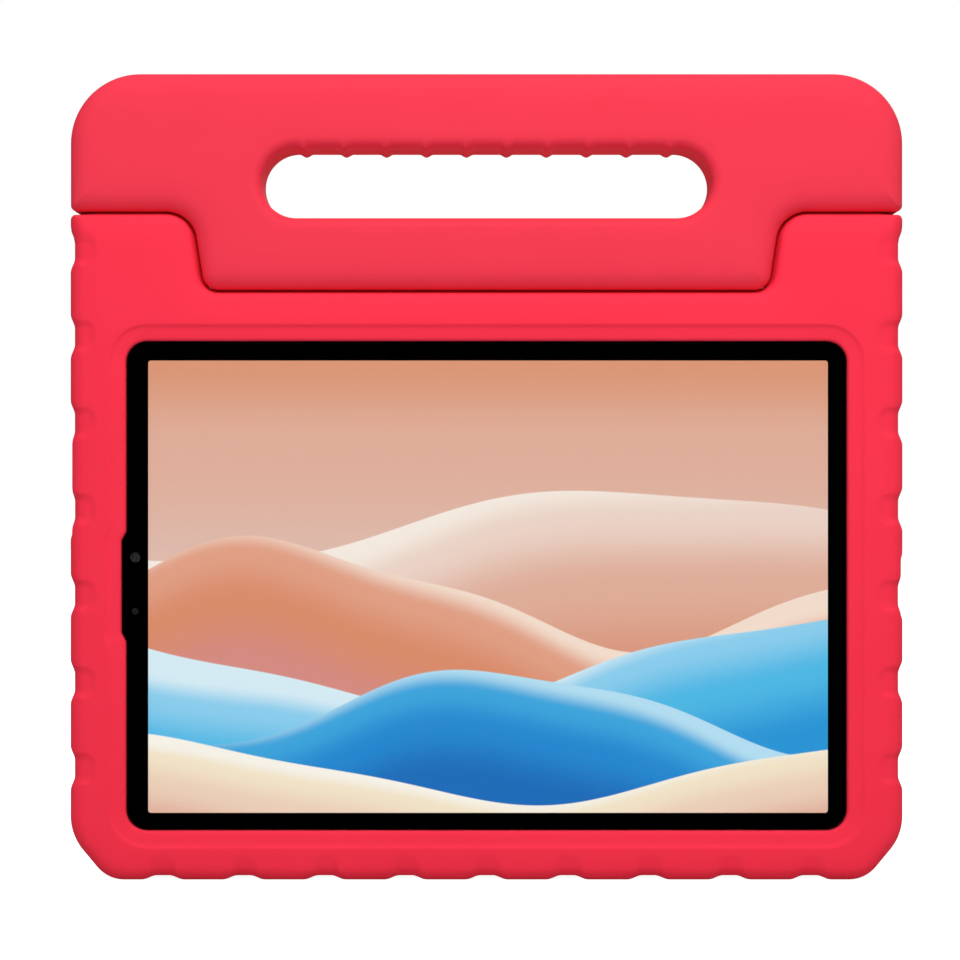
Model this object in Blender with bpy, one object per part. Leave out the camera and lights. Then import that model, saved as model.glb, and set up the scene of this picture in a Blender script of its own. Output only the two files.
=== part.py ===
"""Kids tablet case in moulded foam, with a fold-back handle and the tablet that it holds.

Metres, +Z up. The screen faces -Y and the origin is the middle of the underside, so the case stands
on z = 0. Half widths are measured from the middle plane x = 0.
"""

import math

import bmesh
import bpy
from mathutils import Matrix, Vector

# Case as a whole
CASE_DEPTH = 0.0280
SIDE_RIM = 0.0164
TOP_RIM = 0.0151
GRIP_HEIGHT = 0.0250
FRONT_FILLET = 0.0040
BACK_FILLET = 0.0050
SPLIT_FRONT_FILLET = 0.0018
EDGE_ROUND = 0.0020
BOTTOM_CHAMFER_WIDTH = 0.0125
BOTTOM_CHAMFER_HEIGHT = 0.0150
CHAMFER_SIDE_ROUND = 0.0180
CHAMFER_FLOOR_ROUND = 0.0120
LEAST_RADIUS = 0.0002

# Split between the handle and the frame
SPLIT_GAP = 0.0010
TONGUE_HEIGHT = 0.0264
SHOULDER_WIDTH = 0.0405
TONGUE_SLANT = 0.00405
SHOULDER_ROUND = 0.0100
TONGUE_ROUND = 0.0060
HANDLE_CORNER = 0.0235

# Hinge that the handle folds back on
HINGE_HEIGHT_OVER_SPLIT_FLOOR = 0.0135
HINGE_FROM_BACK = 0.0070
HINGE_CHEEK_STEP = 0.00035
HINGE_CHEEK_ROUND = 0.0015
CHEEK_BLEND_DEPTH = 0.0070
PIN_RADIUS = 0.0025
BUSH_RADIUS = 0.0045
FLANGE_RADIUS = 0.0060
BUSH_LENGTH = 0.0150
FLANGE_LENGTH = 0.0013
SOCKET_LENGTH = 0.0165
BLIND_END = 0.0020
PIN_CHAMFER = 0.0005

# Finger slot in the handle
SLOT_FROM_SIDE = 0.0642
SLOT_OPENING = 0.0236
SLOT_OVER_SHOULDER = 0.0019
SLOT_FILLET = 0.0035
RIDGE_PITCH = 0.0137
RIDGE_WIDTH = 0.0044
RIDGE_PROUD = 0.0010

# Grip recesses round the edge of the frame
SCALLOP_LENGTH = 0.0096
SCALLOP_FLAT = 0.0054
SCALLOP_DEPTH = 0.0013
SCALLOP_REACH = 0.0074
SCALLOP_RAMP = 0.0012
SIDE_SCALLOP_PITCH = 0.0290
SIDE_SCALLOP_LOWEST = 0.0376
FLOOR_SCALLOP_PITCH = 0.0272
SCALLOP_TO_SHOULDER = 0.0100
SCALLOP_TO_CHAMFER = 0.0120
SNAP_SHARE = 0.01

# Tablet
TABLET_WIDTH = 0.2470
TABLET_HEIGHT = 0.1686
TABLET_DEPTH = 0.0075
TABLET_ABOVE_FLOOR = 0.0142
TABLET_CORNER = 0.0100
TABLET_WALL = 0.0012
TABLET_FLOOR = 0.0008
GLASS_THICKNESS = 0.0007
DISPLAY_SIDE_BORDER = 0.0090
DISPLAY_END_BORDER = 0.00805
DISPLAY_THICKNESS = 0.0016
DISPLAY_SHIFT = 0.0005
GASKET_THICKNESS = 0.0010

# Seat of the tablet in the frame
FIT_GAP = 0.0003
LIP_THICKNESS = 0.0040
LIP_OVERLAP = 0.0024
LIP_BEVEL_WIDTH = 0.0053
LIP_BEVEL_DEPTH = 0.0014
LIP_EDGE = 0.0005
WINDOW_CORNER = 0.0070
RELIEF_HEIGHT = 0.0370
RELIEF_DEPTH = 0.0016
RELIEF_SLANT = 0.0030
BACK_PANEL = 0.0059
BACK_RIM = 0.0229
BACK_RIM_FLOOR = 0.0200
BACK_RIM_TOP = 0.0200
BACK_RECESS_CORNER = 0.0140
BACK_RECESS_FILLET = 0.0030

# Cut-outs of the frame
CAMERA_HOLE_CLEARANCE = 0.0042
NOTCH_CORNER = 0.0040
PORT_NOTCH_CLEARANCE = 0.0065
KEY_NOTCH_CLEARANCE = 0.0020

# Small pieces of the tablet
SENSOR_IN_BORDER = 0.0053
CAMERA_ABOVE_MIDDLE = 0.0099
SENSOR_BELOW_MIDDLE = 0.0083
FRONT_CAMERA_RADIUS = 0.0016
FRONT_CAMERA_LENGTH = 0.0032
LIGHT_SENSOR_RADIUS = 0.0010
LIGHT_SENSOR_LENGTH = 0.0016
REAR_CAMERA_INSET = 0.0215
REAR_CAMERA_BELOW_TOP = 0.0198
REAR_CAMERA_RADIUS = 0.0042
REAR_CAMERA_LENGTH = 0.0042
RING_RADIUS = 0.0058
RING_THICKNESS = 0.0010
LENS_RADIUS = 0.0040
BATTERY_FROM_EDGE = 0.0243
BATTERY_THICKNESS = 0.0030
BATTERY_SPACING = 0.0040
BOARD_WIDTH = 0.0160
BOARD_FROM_EDGE = 0.0163
BOARD_GAP = 0.0010
BOARD_THICKNESS = 0.0010
SHIELD_HEIGHT = 0.0012
SHIELD_LENGTH = 0.0500
PORT_WIDTH = 0.0090
PORT_OPENING = 0.0032
PORT_SHELL = 0.0005
PORT_LENGTH = 0.0070
SPEAKER_LENGTH = 0.0200
SPEAKER_WIDTH = 0.0060
SPEAKER_THICKNESS = 0.0032
SPEAKER_FROM_CORNER = 0.0180
SPEAKER_SLOT = 0.0012
SPEAKER_SLOT_LENGTH = 0.0120
KEY_THICKNESS = 0.0022
KEY_PROUD = 0.0006
KEY_FLANGE = 0.0005
KEY_FLANGE_THICKNESS = 0.0006
POWER_KEY_LENGTH = 0.0100
VOLUME_KEY_LENGTH = 0.0200
KEY_SPACING = 0.0040
KEYS_TO_SPEAKER = 0.0043
PILL_ROUND = 0.9
KEY_CROWN = 0.0002
RING_CHAMFER = 0.0003
PORT_TONGUE_WIDTH = 0.0060
PORT_TONGUE_THICKNESS = 0.0007
PORT_TONGUE_SETBACK = 0.0018
SENSOR_DISH_SHARE = 0.25
SENSOR_RIM_SHARE = 0.8
ROUND_MIDDLE_SHARE = 0.3

# Places worked out from the sizes
CASE_WIDTH = TABLET_WIDTH + 2 * SIDE_RIM
HALF_WIDTH = CASE_WIDTH / 2
FRONT = -CASE_DEPTH / 2
BACK = CASE_DEPTH / 2
HALF_GAP = SPLIT_GAP / 2
TABLET_MIDDLE = TABLET_ABOVE_FLOOR + TABLET_HEIGHT / 2
TABLET_TOP = TABLET_ABOVE_FLOOR + TABLET_HEIGHT
SPLIT_FLOOR = TABLET_TOP + TOP_RIM
SHOULDER_HEIGHT = SPLIT_FLOOR + TONGUE_HEIGHT
TONGUE_TOP_WIDTH = CASE_WIDTH - 2 * SHOULDER_WIDTH
TONGUE_BOTTOM_WIDTH = TONGUE_TOP_WIDTH - 2 * TONGUE_SLANT
HINGE_CHEEK_WIDTH = TONGUE_BOTTOM_WIDTH - 2 * HINGE_CHEEK_STEP
HINGE_Y = BACK - HINGE_FROM_BACK
HINGE_Z = SPLIT_FLOOR + HINGE_HEIGHT_OVER_SPLIT_FLOOR
SLOT_WIDTH = CASE_WIDTH - 2 * SLOT_FROM_SIDE
SLOT_MIDDLE = SHOULDER_HEIGHT - SLOT_OVER_SHOULDER + SLOT_OPENING / 2
CASE_HEIGHT = SLOT_MIDDLE + SLOT_OPENING / 2 + GRIP_HEIGHT
RIDGE_COUNT = 1 + int((SLOT_WIDTH - SLOT_OPENING - RIDGE_WIDTH) / RIDGE_PITCH)
SIDE_SCALLOP_RUN = SHOULDER_HEIGHT - SIDE_SCALLOP_LOWEST - SCALLOP_TO_SHOULDER
SIDE_SCALLOPS = 1 + int(SIDE_SCALLOP_RUN / SIDE_SCALLOP_PITCH)
FLOOR_SCALLOP_RUN = HALF_WIDTH - BOTTOM_CHAMFER_WIDTH - SCALLOP_TO_CHAMFER
FLOOR_SCALLOPS = 1 + 2 * int(FLOOR_SCALLOP_RUN / FLOOR_SCALLOP_PITCH)
GLASS_FRONT = FRONT + LIP_THICKNESS + FIT_GAP
GLASS_BACK = GLASS_FRONT + GLASS_THICKNESS
TABLET_BACK = GLASS_FRONT + TABLET_DEPTH
INNER_FRONT = GLASS_BACK + FIT_GAP
INNER_BACK = TABLET_BACK - TABLET_FLOOR
POCKET_BACK = TABLET_BACK + FIT_GAP
RECESS_FLOOR = POCKET_BACK + BACK_PANEL
TABLET_SIDE = TABLET_WIDTH / 2
INNER_SIDE = TABLET_SIDE - TABLET_WALL
EDGE_MIDDLE = (INNER_FRONT + INNER_BACK) / 2
DISPLAY_WIDTH = TABLET_WIDTH - 2 * DISPLAY_SIDE_BORDER
DISPLAY_HEIGHT = TABLET_HEIGHT - 2 * DISPLAY_END_BORDER
BOARD_LEFT = INNER_SIDE - FIT_GAP - SPEAKER_WIDTH - BOARD_GAP
BATTERY_SIDE = BOARD_LEFT - BOARD_WIDTH - BOARD_GAP
BATTERY_WIDTH = BATTERY_SIDE - BATTERY_SPACING / 2
BATTERY_HEIGHT = TABLET_HEIGHT - 2 * BATTERY_FROM_EDGE
CAMERA_HOLE_RADIUS = RING_RADIUS + CAMERA_HOLE_CLEARANCE
SENSOR_X = -(TABLET_SIDE - SENSOR_IN_BORDER)
REAR_CAMERA_X = -(TABLET_SIDE - REAR_CAMERA_INSET)
REAR_CAMERA_Z = TABLET_TOP - REAR_CAMERA_BELOW_TOP
KEYS_LENGTH = POWER_KEY_LENGTH + KEY_SPACING + VOLUME_KEY_LENGTH
KEYS_TOP = TABLET_TOP - SPEAKER_FROM_CORNER - SPEAKER_LENGTH / 2 - KEYS_TO_SPEAKER
KEY_MIDDLE = KEYS_TOP - KEYS_LENGTH / 2
KEY_NOTCH = KEYS_LENGTH + 2 * KEY_NOTCH_CLEARANCE
PORT_NOTCH = PORT_WIDTH + 2 * PORT_NOTCH_CLEARANCE
POWER_KEY_Z = KEY_MIDDLE + KEYS_LENGTH / 2 - POWER_KEY_LENGTH / 2
VOLUME_KEY_Z = KEY_MIDDLE - KEYS_LENGTH / 2 + VOLUME_KEY_LENGTH / 2

# Fineness of the round shapes
ARC_STEPS = 5
FILLET_STEPS = 4
SLOT_STEPS = 10
ROUND_SIDES = 24
PAST = 0.0010


def material(name, colour, roughness, metallic=0.0):
    """A Principled material of one colour."""
    made = bpy.data.materials.new(name)
    made.use_nodes = True
    shader = made.node_tree.nodes["Principled BSDF"]
    shader.inputs["Base Color"].default_value = (*colour, 1.0)
    shader.inputs["Roughness"].default_value = roughness
    shader.inputs["Metallic"].default_value = metallic
    return made


def new_object(name, bm, finish=None, smooth_angle=35.0):
    """Turns a closed bmesh into a named object with its faces pointing out."""
    bmesh.ops.recalc_face_normals(bm, faces=bm.faces)
    mesh = bpy.data.meshes.new(name)
    bm.to_mesh(mesh)
    bm.free()
    mesh.shade_smooth()
    mesh.set_sharp_from_angle(angle=math.radians(smooth_angle))
    obj = bpy.data.objects.new(name, mesh)
    bpy.context.scene.collection.objects.link(obj)
    if finish:
        mesh.materials.append(finish)
    else:
        obj.hide_render = True
        obj.display_type = "WIRE"
    return obj


def cut(obj, *cutters):
    """Takes each cutter out of the object with a Boolean modifier."""
    for cutter in cutters:
        modifier = obj.modifiers.new(cutter.name, "BOOLEAN")
        modifier.operation = "DIFFERENCE"
        modifier.solver = "EXACT"
        modifier.object = cutter


def unit(vector):
    length = math.hypot(*vector)
    return vector[0] / length, vector[1] / length


def offset_corner(before, corner, after, insets):
    """The corner after each of its two sides has moved inwards, on an anticlockwise outline."""
    first = unit((corner[0] - before[0], corner[1] - before[1]))
    second = unit((after[0] - corner[0], after[1] - corner[1]))
    turn = first[0] * second[1] - first[1] * second[0]
    straight = first[0] * second[0] + first[1] * second[1]
    ahead = (insets[0] * straight - insets[1]) / turn
    return (
        corner[0] - first[1] * insets[0] + first[0] * ahead,
        corner[1] + first[0] * insets[0] + first[1] * ahead,
    )


def rounded_corner(before, corner, after, radius, steps):
    """Points along the arc that rounds one corner."""
    back = unit((before[0] - corner[0], before[1] - corner[1]))
    ahead = unit((after[0] - corner[0], after[1] - corner[1]))
    between = math.acos(max(-1.0, min(1.0, back[0] * ahead[0] + back[1] * ahead[1])))
    middle = unit((back[0] + ahead[0], back[1] + ahead[1]))
    reach = radius / math.sin(between / 2)
    centre = corner[0] + middle[0] * reach, corner[1] + middle[1] * reach
    tangent = radius / math.tan(between / 2)
    start = corner[0] + back[0] * tangent - centre[0], corner[1] + back[1] * tangent - centre[1]
    turn = math.pi - between
    if start[1] * back[0] - start[0] * back[1] < 0:
        turn = -turn
    points = []
    for step in range(steps + 1):
        angle = turn * step / steps
        cosine, sine = math.cos(angle), math.sin(angle)
        points.append(
            (
                centre[0] + start[0] * cosine - start[1] * sine,
                centre[1] + start[0] * sine + start[1] * cosine,
            )
        )
    return points


def outline(corners, inset=0.0, stops=None):
    """Closed outline of (x, z) points, anticlockwise, moved inwards by the inset.

    Each corner is (x, z, radius). The inset is one number or one for the side after each corner. A
    hollow corner's radius grows with the inset and a full one's shrinks. stops gives, for the side
    after a corner, distances along it that get a point.
    """
    count = len(corners)
    insets = inset if isinstance(inset, list) else [inset] * count
    plain = [(x, z) for x, z, _ in corners]
    moved = [
        offset_corner(plain[i - 1], plain[i], plain[(i + 1) % count], (insets[i - 1], insets[i]))
        for i in range(count)
    ]
    points = []
    for i, (x, z, radius) in enumerate(corners):
        before, after = plain[i - 1], plain[(i + 1) % count]
        full = (x - before[0]) * (after[1] - z) - (z - before[1]) * (after[0] - x) > 0
        deepest = max(insets[i - 1], insets[i])
        reach = max(radius - deepest if full else radius + deepest, LEAST_RADIUS)
        points += rounded_corner(moved[i - 1], moved[i], moved[(i + 1) % count], reach, ARC_STEPS)
        along = unit((after[0] - x, after[1] - z))
        for distance in (stops or {}).get(i, ()):
            points.append(
                (
                    x + along[0] * distance - along[1] * insets[i],
                    z + along[1] * distance + along[0] * insets[i],
                )
            )
    return points


def ring(bm, points, y):
    """Vertices of one outline at one depth; y may be a number or a list with one for each point."""
    depths = y if isinstance(y, list) else [y] * len(points)
    return [bm.verts.new((x, depth, z)) for (x, z), depth in zip(points, depths)]


def skin(bm, rings):
    """Joins each ring to the next with a band of quads."""
    for first, second in zip(rings, rings[1:]):
        count = len(first)
        for i in range(count):
            j = (i + 1) % count
            bm.faces.new((first[i], first[j], second[j], second[i]))


def loop_edges(bm, verts):
    return [
        bm.edges.get((a, b)) or bm.edges.new((a, b)) for a, b in zip(verts, verts[1:] + verts[:1])
    ]


def cap(bm, *loops):
    """Fills the flat area inside the first loop and outside the others."""
    edges = [edge for loop in loops for edge in loop_edges(bm, loop)]
    bmesh.ops.triangle_fill(bm, use_beauty=True, edges=edges, normal=(0, -1, 0))


def rectangle(half_width, low, high, radius, middle=0.0):
    """Corners of a rounded rectangle, anticlockwise."""
    left, right = middle - half_width, middle + half_width
    return [
        (left, low, radius),
        (right, low, radius),
        (right, high, radius),
        (left, high, radius),
    ]


def plate(name, corners, front, back, finish=None):
    """A flat piece with a rounded outline, between two depths."""
    bm = bmesh.new()
    points = outline(corners)
    first, last = ring(bm, points, front), ring(bm, points, back)
    skin(bm, [first, last])
    bm.faces.new(first)
    bm.faces.new(last)
    return new_object(name, bm, finish)


def turned(name, profile, axis, place, finish=None, sides=ROUND_SIDES):
    """A solid of revolution: profile is (radius, length) points, from one end of the axis to the other."""
    bm = bmesh.new()
    rings = []
    for radius, length in profile:
        if radius == 0:
            rings.append([bm.verts.new((0, 0, length))])
            continue
        turns = [2 * math.pi * side / sides for side in range(sides)]
        rings.append(
            [bm.verts.new((radius * math.cos(t), radius * math.sin(t), length)) for t in turns]
        )
    for first, second in zip(rings, rings[1:]):
        for i in range(sides):
            j = (i + 1) % sides
            if len(first) == 1:
                bm.faces.new((first[0], second[j], second[i]))
            elif len(second) == 1:
                bm.faces.new((first[i], first[j], second[0]))
            else:
                bm.faces.new((first[i], first[j], second[j], second[i]))
    obj = new_object(name, bm, finish)
    obj.data.transform(Vector((0, 0, 1)).rotation_difference(Vector(axis)).to_matrix().to_4x4())
    obj.location = place
    return obj


def cylinder(radius, start, end):
    """Profile of a plain rod for turned()."""
    return [(0, start), (radius, start), (radius, end), (0, end)]


def fillet_rows(radius, y_face, inwards):
    """(inset, y) rows round a convex edge, from the face to the side wall."""
    rows = []
    for step in range(FILLET_STEPS + 1):
        angle = math.pi / 2 * step / FILLET_STEPS
        rows.append(
            (radius * (1 - math.sin(angle)), y_face + inwards * radius * (1 - math.cos(angle)))
        )
    return rows


def split_corners(offset, cheek=0.0):
    """Lower outline of the handle, left to right, moved up by the offset; the frame's is moved down.

    cheek goes from 0, the slanted outline seen from the front, to 1, the narrow cheeks on the hinge.
    """
    slope = (TONGUE_TOP_WIDTH - TONGUE_BOTTOM_WIDTH) / 2 / TONGUE_HEIGHT
    aside = offset * math.hypot(1, slope)
    wide = TONGUE_TOP_WIDTH / 2 - aside + offset * slope
    narrow = TONGUE_BOTTOM_WIDTH / 2 - aside + offset * slope
    half_cheek = HINGE_CHEEK_WIDTH / 2
    top_half = wide + (half_cheek - wide) * cheek
    low_half = narrow + (half_cheek - narrow) * cheek
    inner_round = SHOULDER_ROUND + offset
    top_round = inner_round + (HINGE_CHEEK_ROUND - inner_round) * cheek
    low_round = TONGUE_ROUND - offset
    top, low = SHOULDER_HEIGHT + offset, SPLIT_FLOOR + offset
    return [
        (-top_half, top, top_round),
        (-low_half, low, low_round),
        (low_half, low, low_round),
        (top_half, top, top_round),
    ]


def body_corners():
    """Outline of the frame, anticlockwise from the left end of the underside."""
    chamfer = HALF_WIDTH - BOTTOM_CHAMFER_WIDTH
    shoulder = SHOULDER_HEIGHT - HALF_GAP
    return [
        (-chamfer, 0.0, CHAMFER_FLOOR_ROUND),
        (chamfer, 0.0, CHAMFER_FLOOR_ROUND),
        (HALF_WIDTH, BOTTOM_CHAMFER_HEIGHT, CHAMFER_SIDE_ROUND),
        (HALF_WIDTH, shoulder, EDGE_ROUND),
        *reversed(split_corners(-HALF_GAP)),
        (-HALF_WIDTH, shoulder, EDGE_ROUND),
        (-HALF_WIDTH, BOTTOM_CHAMFER_HEIGHT, CHAMFER_SIDE_ROUND),
    ]


FLOOR_RUN, RIGHT_RUN, LEFT_RUN = 0, 2, 8
SPLIT_RUNS = range(3, 8)


def scallop_middles():
    """Heights of the recesses on the sides, and their places across along the underside."""
    sides = [SIDE_SCALLOP_LOWEST + SIDE_SCALLOP_PITCH * i for i in range(SIDE_SCALLOPS)]
    floor = [FLOOR_SCALLOP_PITCH * (i - (FLOOR_SCALLOPS - 1) / 2) for i in range(FLOOR_SCALLOPS)]
    return sides, floor


def scallop_stops():
    """Distances along each scalloped run where a recess starts, reaches its depth and ends."""
    sides, floor = scallop_middles()
    reaches = (-SCALLOP_LENGTH / 2, -SCALLOP_FLAT / 2, SCALLOP_FLAT / 2, SCALLOP_LENGTH / 2)
    half_floor = HALF_WIDTH - BOTTOM_CHAMFER_WIDTH
    shoulder = SHOULDER_HEIGHT - HALF_GAP
    return {
        FLOOR_RUN: [half_floor + x + reach for x in floor for reach in reaches],
        RIGHT_RUN: [z - BOTTOM_CHAMFER_HEIGHT + reach for z in sides for reach in reaches],
        LEFT_RUN: [shoulder - z + reach for z in reversed(sides) for reach in reaches],
    }


def scallop_share(x, z):
    """How much of the recess depth a point of the frame's outer wall takes, and the way inwards."""
    sides, floor = scallop_middles()
    low_side = BOTTOM_CHAMFER_HEIGHT + SCALLOP_LENGTH / 2
    if z > low_side and abs(x) > HALF_WIDTH - SCALLOP_REACH - SCALLOP_DEPTH:
        distance = min(abs(z - middle) for middle in sides)
        inwards = (-math.copysign(1.0, x), 0.0)
    elif z < low_side and abs(x) < HALF_WIDTH - BOTTOM_CHAMFER_WIDTH:
        distance = min(abs(x - middle) for middle in floor)
        inwards = (0.0, 1.0)
    else:
        return 0.0, (0.0, 0.0)
    ramp = (SCALLOP_LENGTH - SCALLOP_FLAT) / 2
    share = max(0.0, min(1.0, (SCALLOP_LENGTH / 2 - distance) / ramp))
    if share > 1 - SNAP_SHARE:
        share = 1.0
    if share < SNAP_SHARE:
        share = 0.0
    return share, inwards


def body_rows():
    """Rows across the frame's outer band: (inset, inset along the split, y, recess share, lean).

    lean is 1 where the recess sinks into the front or back face and 0 where it sinks into the wall.
    """
    inner = SCALLOP_REACH - SCALLOP_RAMP
    split_inner, split_edge = BACK_FILLET + SCALLOP_RAMP / 2, BACK_FILLET + SCALLOP_RAMP
    rows = [
        (SCALLOP_REACH, SPLIT_FRONT_FILLET + SCALLOP_RAMP, FRONT, 0.0, 1.0),
        (inner, SPLIT_FRONT_FILLET + SCALLOP_RAMP / 2, FRONT, 1.0, 1.0),
    ]
    wide = fillet_rows(FRONT_FILLET, FRONT, 1)
    narrow = fillet_rows(SPLIT_FRONT_FILLET, FRONT, 1)
    for step, ((inset, y), (split_inset, _)) in enumerate(zip(wide, narrow)):
        rows.append((inset, split_inset, y, 1.0, 1 - step / FILLET_STEPS))
    back = fillet_rows(BACK_FILLET, BACK, -1)
    for step, (inset, y) in reversed(list(enumerate(back))):
        rows.append((inset, inset, y, 1.0, -(1 - step / FILLET_STEPS)))
    rows.append((inner, split_inner, BACK, 1.0, -1.0))
    rows.append((SCALLOP_REACH, split_edge, BACK, 0.0, -1.0))
    return rows


def split_depth(y):
    """Depth on the small front fillet that stands for this depth on the large one."""
    reach = y - FRONT
    return FRONT + reach * SPLIT_FRONT_FILLET / FRONT_FILLET if reach < FRONT_FILLET else y


def on_split(x, z):
    """1 along the split with the handle, 0 round the rest of the frame, and a blend at its ends."""
    side = z < SHOULDER_HEIGHT - HALF_GAP - EDGE_ROUND and abs(x) > HALF_WIDTH - EDGE_ROUND
    if side or z < SPLIT_FLOOR - HALF_GAP - EDGE_ROUND:
        return 0.0
    return max(0.0, min(1.0, (HALF_WIDTH - abs(x)) / EDGE_ROUND))


def body_ring(bm, row):
    """One row of the frame's outer band, with its grip recesses pressed in."""
    inset, split_inset, y, share, lean = row
    corners, stops = body_corners(), scallop_stops()
    wall = outline(corners, 0.0, stops)
    insets = [split_inset if side in SPLIT_RUNS else inset for side in range(len(corners))]
    moved = outline(corners, insets, stops)
    points, depths = [], []
    for at_wall, (x, z) in zip(wall, moved):
        depth, inwards = scallop_share(*at_wall)
        sunk = SCALLOP_DEPTH * depth * share
        flat = math.cos(math.pi / 2 * lean)
        points.append((x + inwards[0] * sunk * flat, z + inwards[1] * sunk * flat))
        deep = y + (split_depth(y) - y) * on_split(*at_wall)
        depths.append(deep + sunk * math.sin(math.pi / 2 * lean))
    return ring(bm, points, depths)


def window_corners():
    """Outline of the screen opening in the lip, with the shallow relief beside the front camera."""
    half = TABLET_SIDE - LIP_OVERLAP
    low, high = TABLET_ABOVE_FLOOR + LIP_OVERLAP, TABLET_TOP - LIP_OVERLAP
    relief = TABLET_MIDDLE - RELIEF_HEIGHT / 2, TABLET_MIDDLE + RELIEF_HEIGHT / 2
    deep = -(half + RELIEF_DEPTH)
    return [
        (-half, low, WINDOW_CORNER),
        (half, low, WINDOW_CORNER),
        (half, high, WINDOW_CORNER),
        (-half, high, WINDOW_CORNER),
        (-half, relief[1], EDGE_ROUND),
        (deep, relief[1] - RELIEF_SLANT, EDGE_ROUND),
        (deep, relief[0] + RELIEF_SLANT, EDGE_ROUND),
        (-half, relief[0], EDGE_ROUND),
    ]


def window_rings(bm):
    """Rows of the opening from the front face down the bevel and the lip's edge."""
    lip_back = FRONT + LIP_THICKNESS
    rows = [
        (-LIP_BEVEL_WIDTH, FRONT),
        (-LIP_EDGE, FRONT + LIP_BEVEL_DEPTH),
        (0.0, FRONT + LIP_BEVEL_DEPTH + LIP_EDGE),
        (0.0, lip_back),
    ]
    return [ring(bm, outline(window_corners(), inset), y) for inset, y in rows]


def pocket_corners():
    """Outline of the space that the tablet sits in."""
    return rectangle(
        TABLET_SIDE + FIT_GAP,
        TABLET_ABOVE_FLOOR - FIT_GAP,
        TABLET_TOP + FIT_GAP,
        TABLET_CORNER + FIT_GAP,
    )


def recess_corners():
    """Outline of the recess in the frame's back."""
    top = SPLIT_FLOOR - HALF_GAP - BACK_RIM_TOP
    return rectangle(HALF_WIDTH - BACK_RIM, BACK_RIM_FLOOR, top, BACK_RECESS_CORNER)


def make_body(finish):
    """The foam frame: outer band, lip round the screen, pocket, back panel and cut-outs."""
    bm = bmesh.new()
    band = [body_ring(bm, row) for row in body_rows()]
    skin(bm, band)
    window = window_rings(bm)
    skin(bm, window)
    cap(bm, band[0], window[0])
    pocket = [ring(bm, outline(pocket_corners()), y) for y in (FRONT + LIP_THICKNESS, POCKET_BACK)]
    skin(bm, pocket)
    cap(bm, pocket[0], window[-1])
    bm.faces.new(pocket[1])
    recess = [
        ring(bm, outline(recess_corners(), -inset), y)
        for inset, y in fillet_rows(BACK_RECESS_FILLET, BACK, -1)
    ]
    recess.append(ring(bm, outline(recess_corners()), RECESS_FLOOR))
    skin(bm, recess)
    cap(bm, band[-1], recess[0])
    bm.faces.new(recess[-1])
    body = new_object("case_body", bm, finish)
    cut(body, camera_hole_cutter(), port_notch_cutter(), key_notch_cutter())
    cut(body, hinge_bore_cutter("socket_bore_left", -1))
    cut(body, hinge_bore_cutter("socket_bore_right", 1))
    return body


def camera_hole_cutter():
    """Hole in the back panel over the rear camera, wider towards the outside."""
    start, end = POCKET_BACK - TABLET_FLOOR, RECESS_FLOOR + PAST
    flare = CAMERA_HOLE_RADIUS + BACK_PANEL / 2
    profile = [(0, start), (CAMERA_HOLE_RADIUS, start), (flare, end), (0, end)]
    return turned("camera_hole", profile, (0, 1, 0), (REAR_CAMERA_X, 0, REAR_CAMERA_Z))


def notch_cutter(name, side, length, middle):
    """Cutter of a notch that opens a side wall of the frame from the tablet's edge outwards."""
    half, front = length / 2, FRONT + LIP_THICKNESS + FIT_GAP
    corners = [
        (-half, front, NOTCH_CORNER),
        (half, front, NOTCH_CORNER),
        (half, BACK + PAST, EDGE_ROUND),
        (-half, BACK + PAST, EDGE_ROUND),
    ]
    inner, outer = TABLET_SIDE - TABLET_WALL, HALF_WIDTH + PAST
    bm = bmesh.new()
    loops = [
        [bm.verts.new((side * x, y, middle + z)) for z, y in outline(corners)]
        for x in (inner, outer)
    ]
    skin(bm, loops)
    bm.faces.new(loops[0])
    bm.faces.new(loops[1])
    return new_object(name, bm)


def port_notch_cutter():
    return notch_cutter("port_notch", 1, PORT_NOTCH, TABLET_MIDDLE)


def key_notch_cutter():
    return notch_cutter("key_notch", -1, KEY_NOTCH, KEY_MIDDLE)


def hinge_bore_cutter(name, side):
    """Blind bore for a hinge socket, from the split wall into the frame's shoulder."""
    start = HINGE_CHEEK_WIDTH / 2 - PAST
    end = socket_start() + SOCKET_LENGTH + FIT_GAP
    profile = cylinder(BUSH_RADIUS + FIT_GAP, start, end)
    return turned(name, profile, (side, 0, 0), (0, HINGE_Y, HINGE_Z))


def bush_bore_cutter(name, side):
    """Blind bore for a hinge bush, from the handle's cheek inwards."""
    cheek = HINGE_CHEEK_WIDTH / 2
    profile = cylinder(BUSH_RADIUS + FIT_GAP, cheek - BUSH_LENGTH - FIT_GAP, cheek + PAST)
    return turned(name, profile, (side, 0, 0), (0, HINGE_Y, HINGE_Z))


def bush_flange_end():
    return HINGE_CHEEK_WIDTH / 2 + FIT_GAP + FLANGE_LENGTH


def socket_start():
    return bush_flange_end() + FIT_GAP


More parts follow.
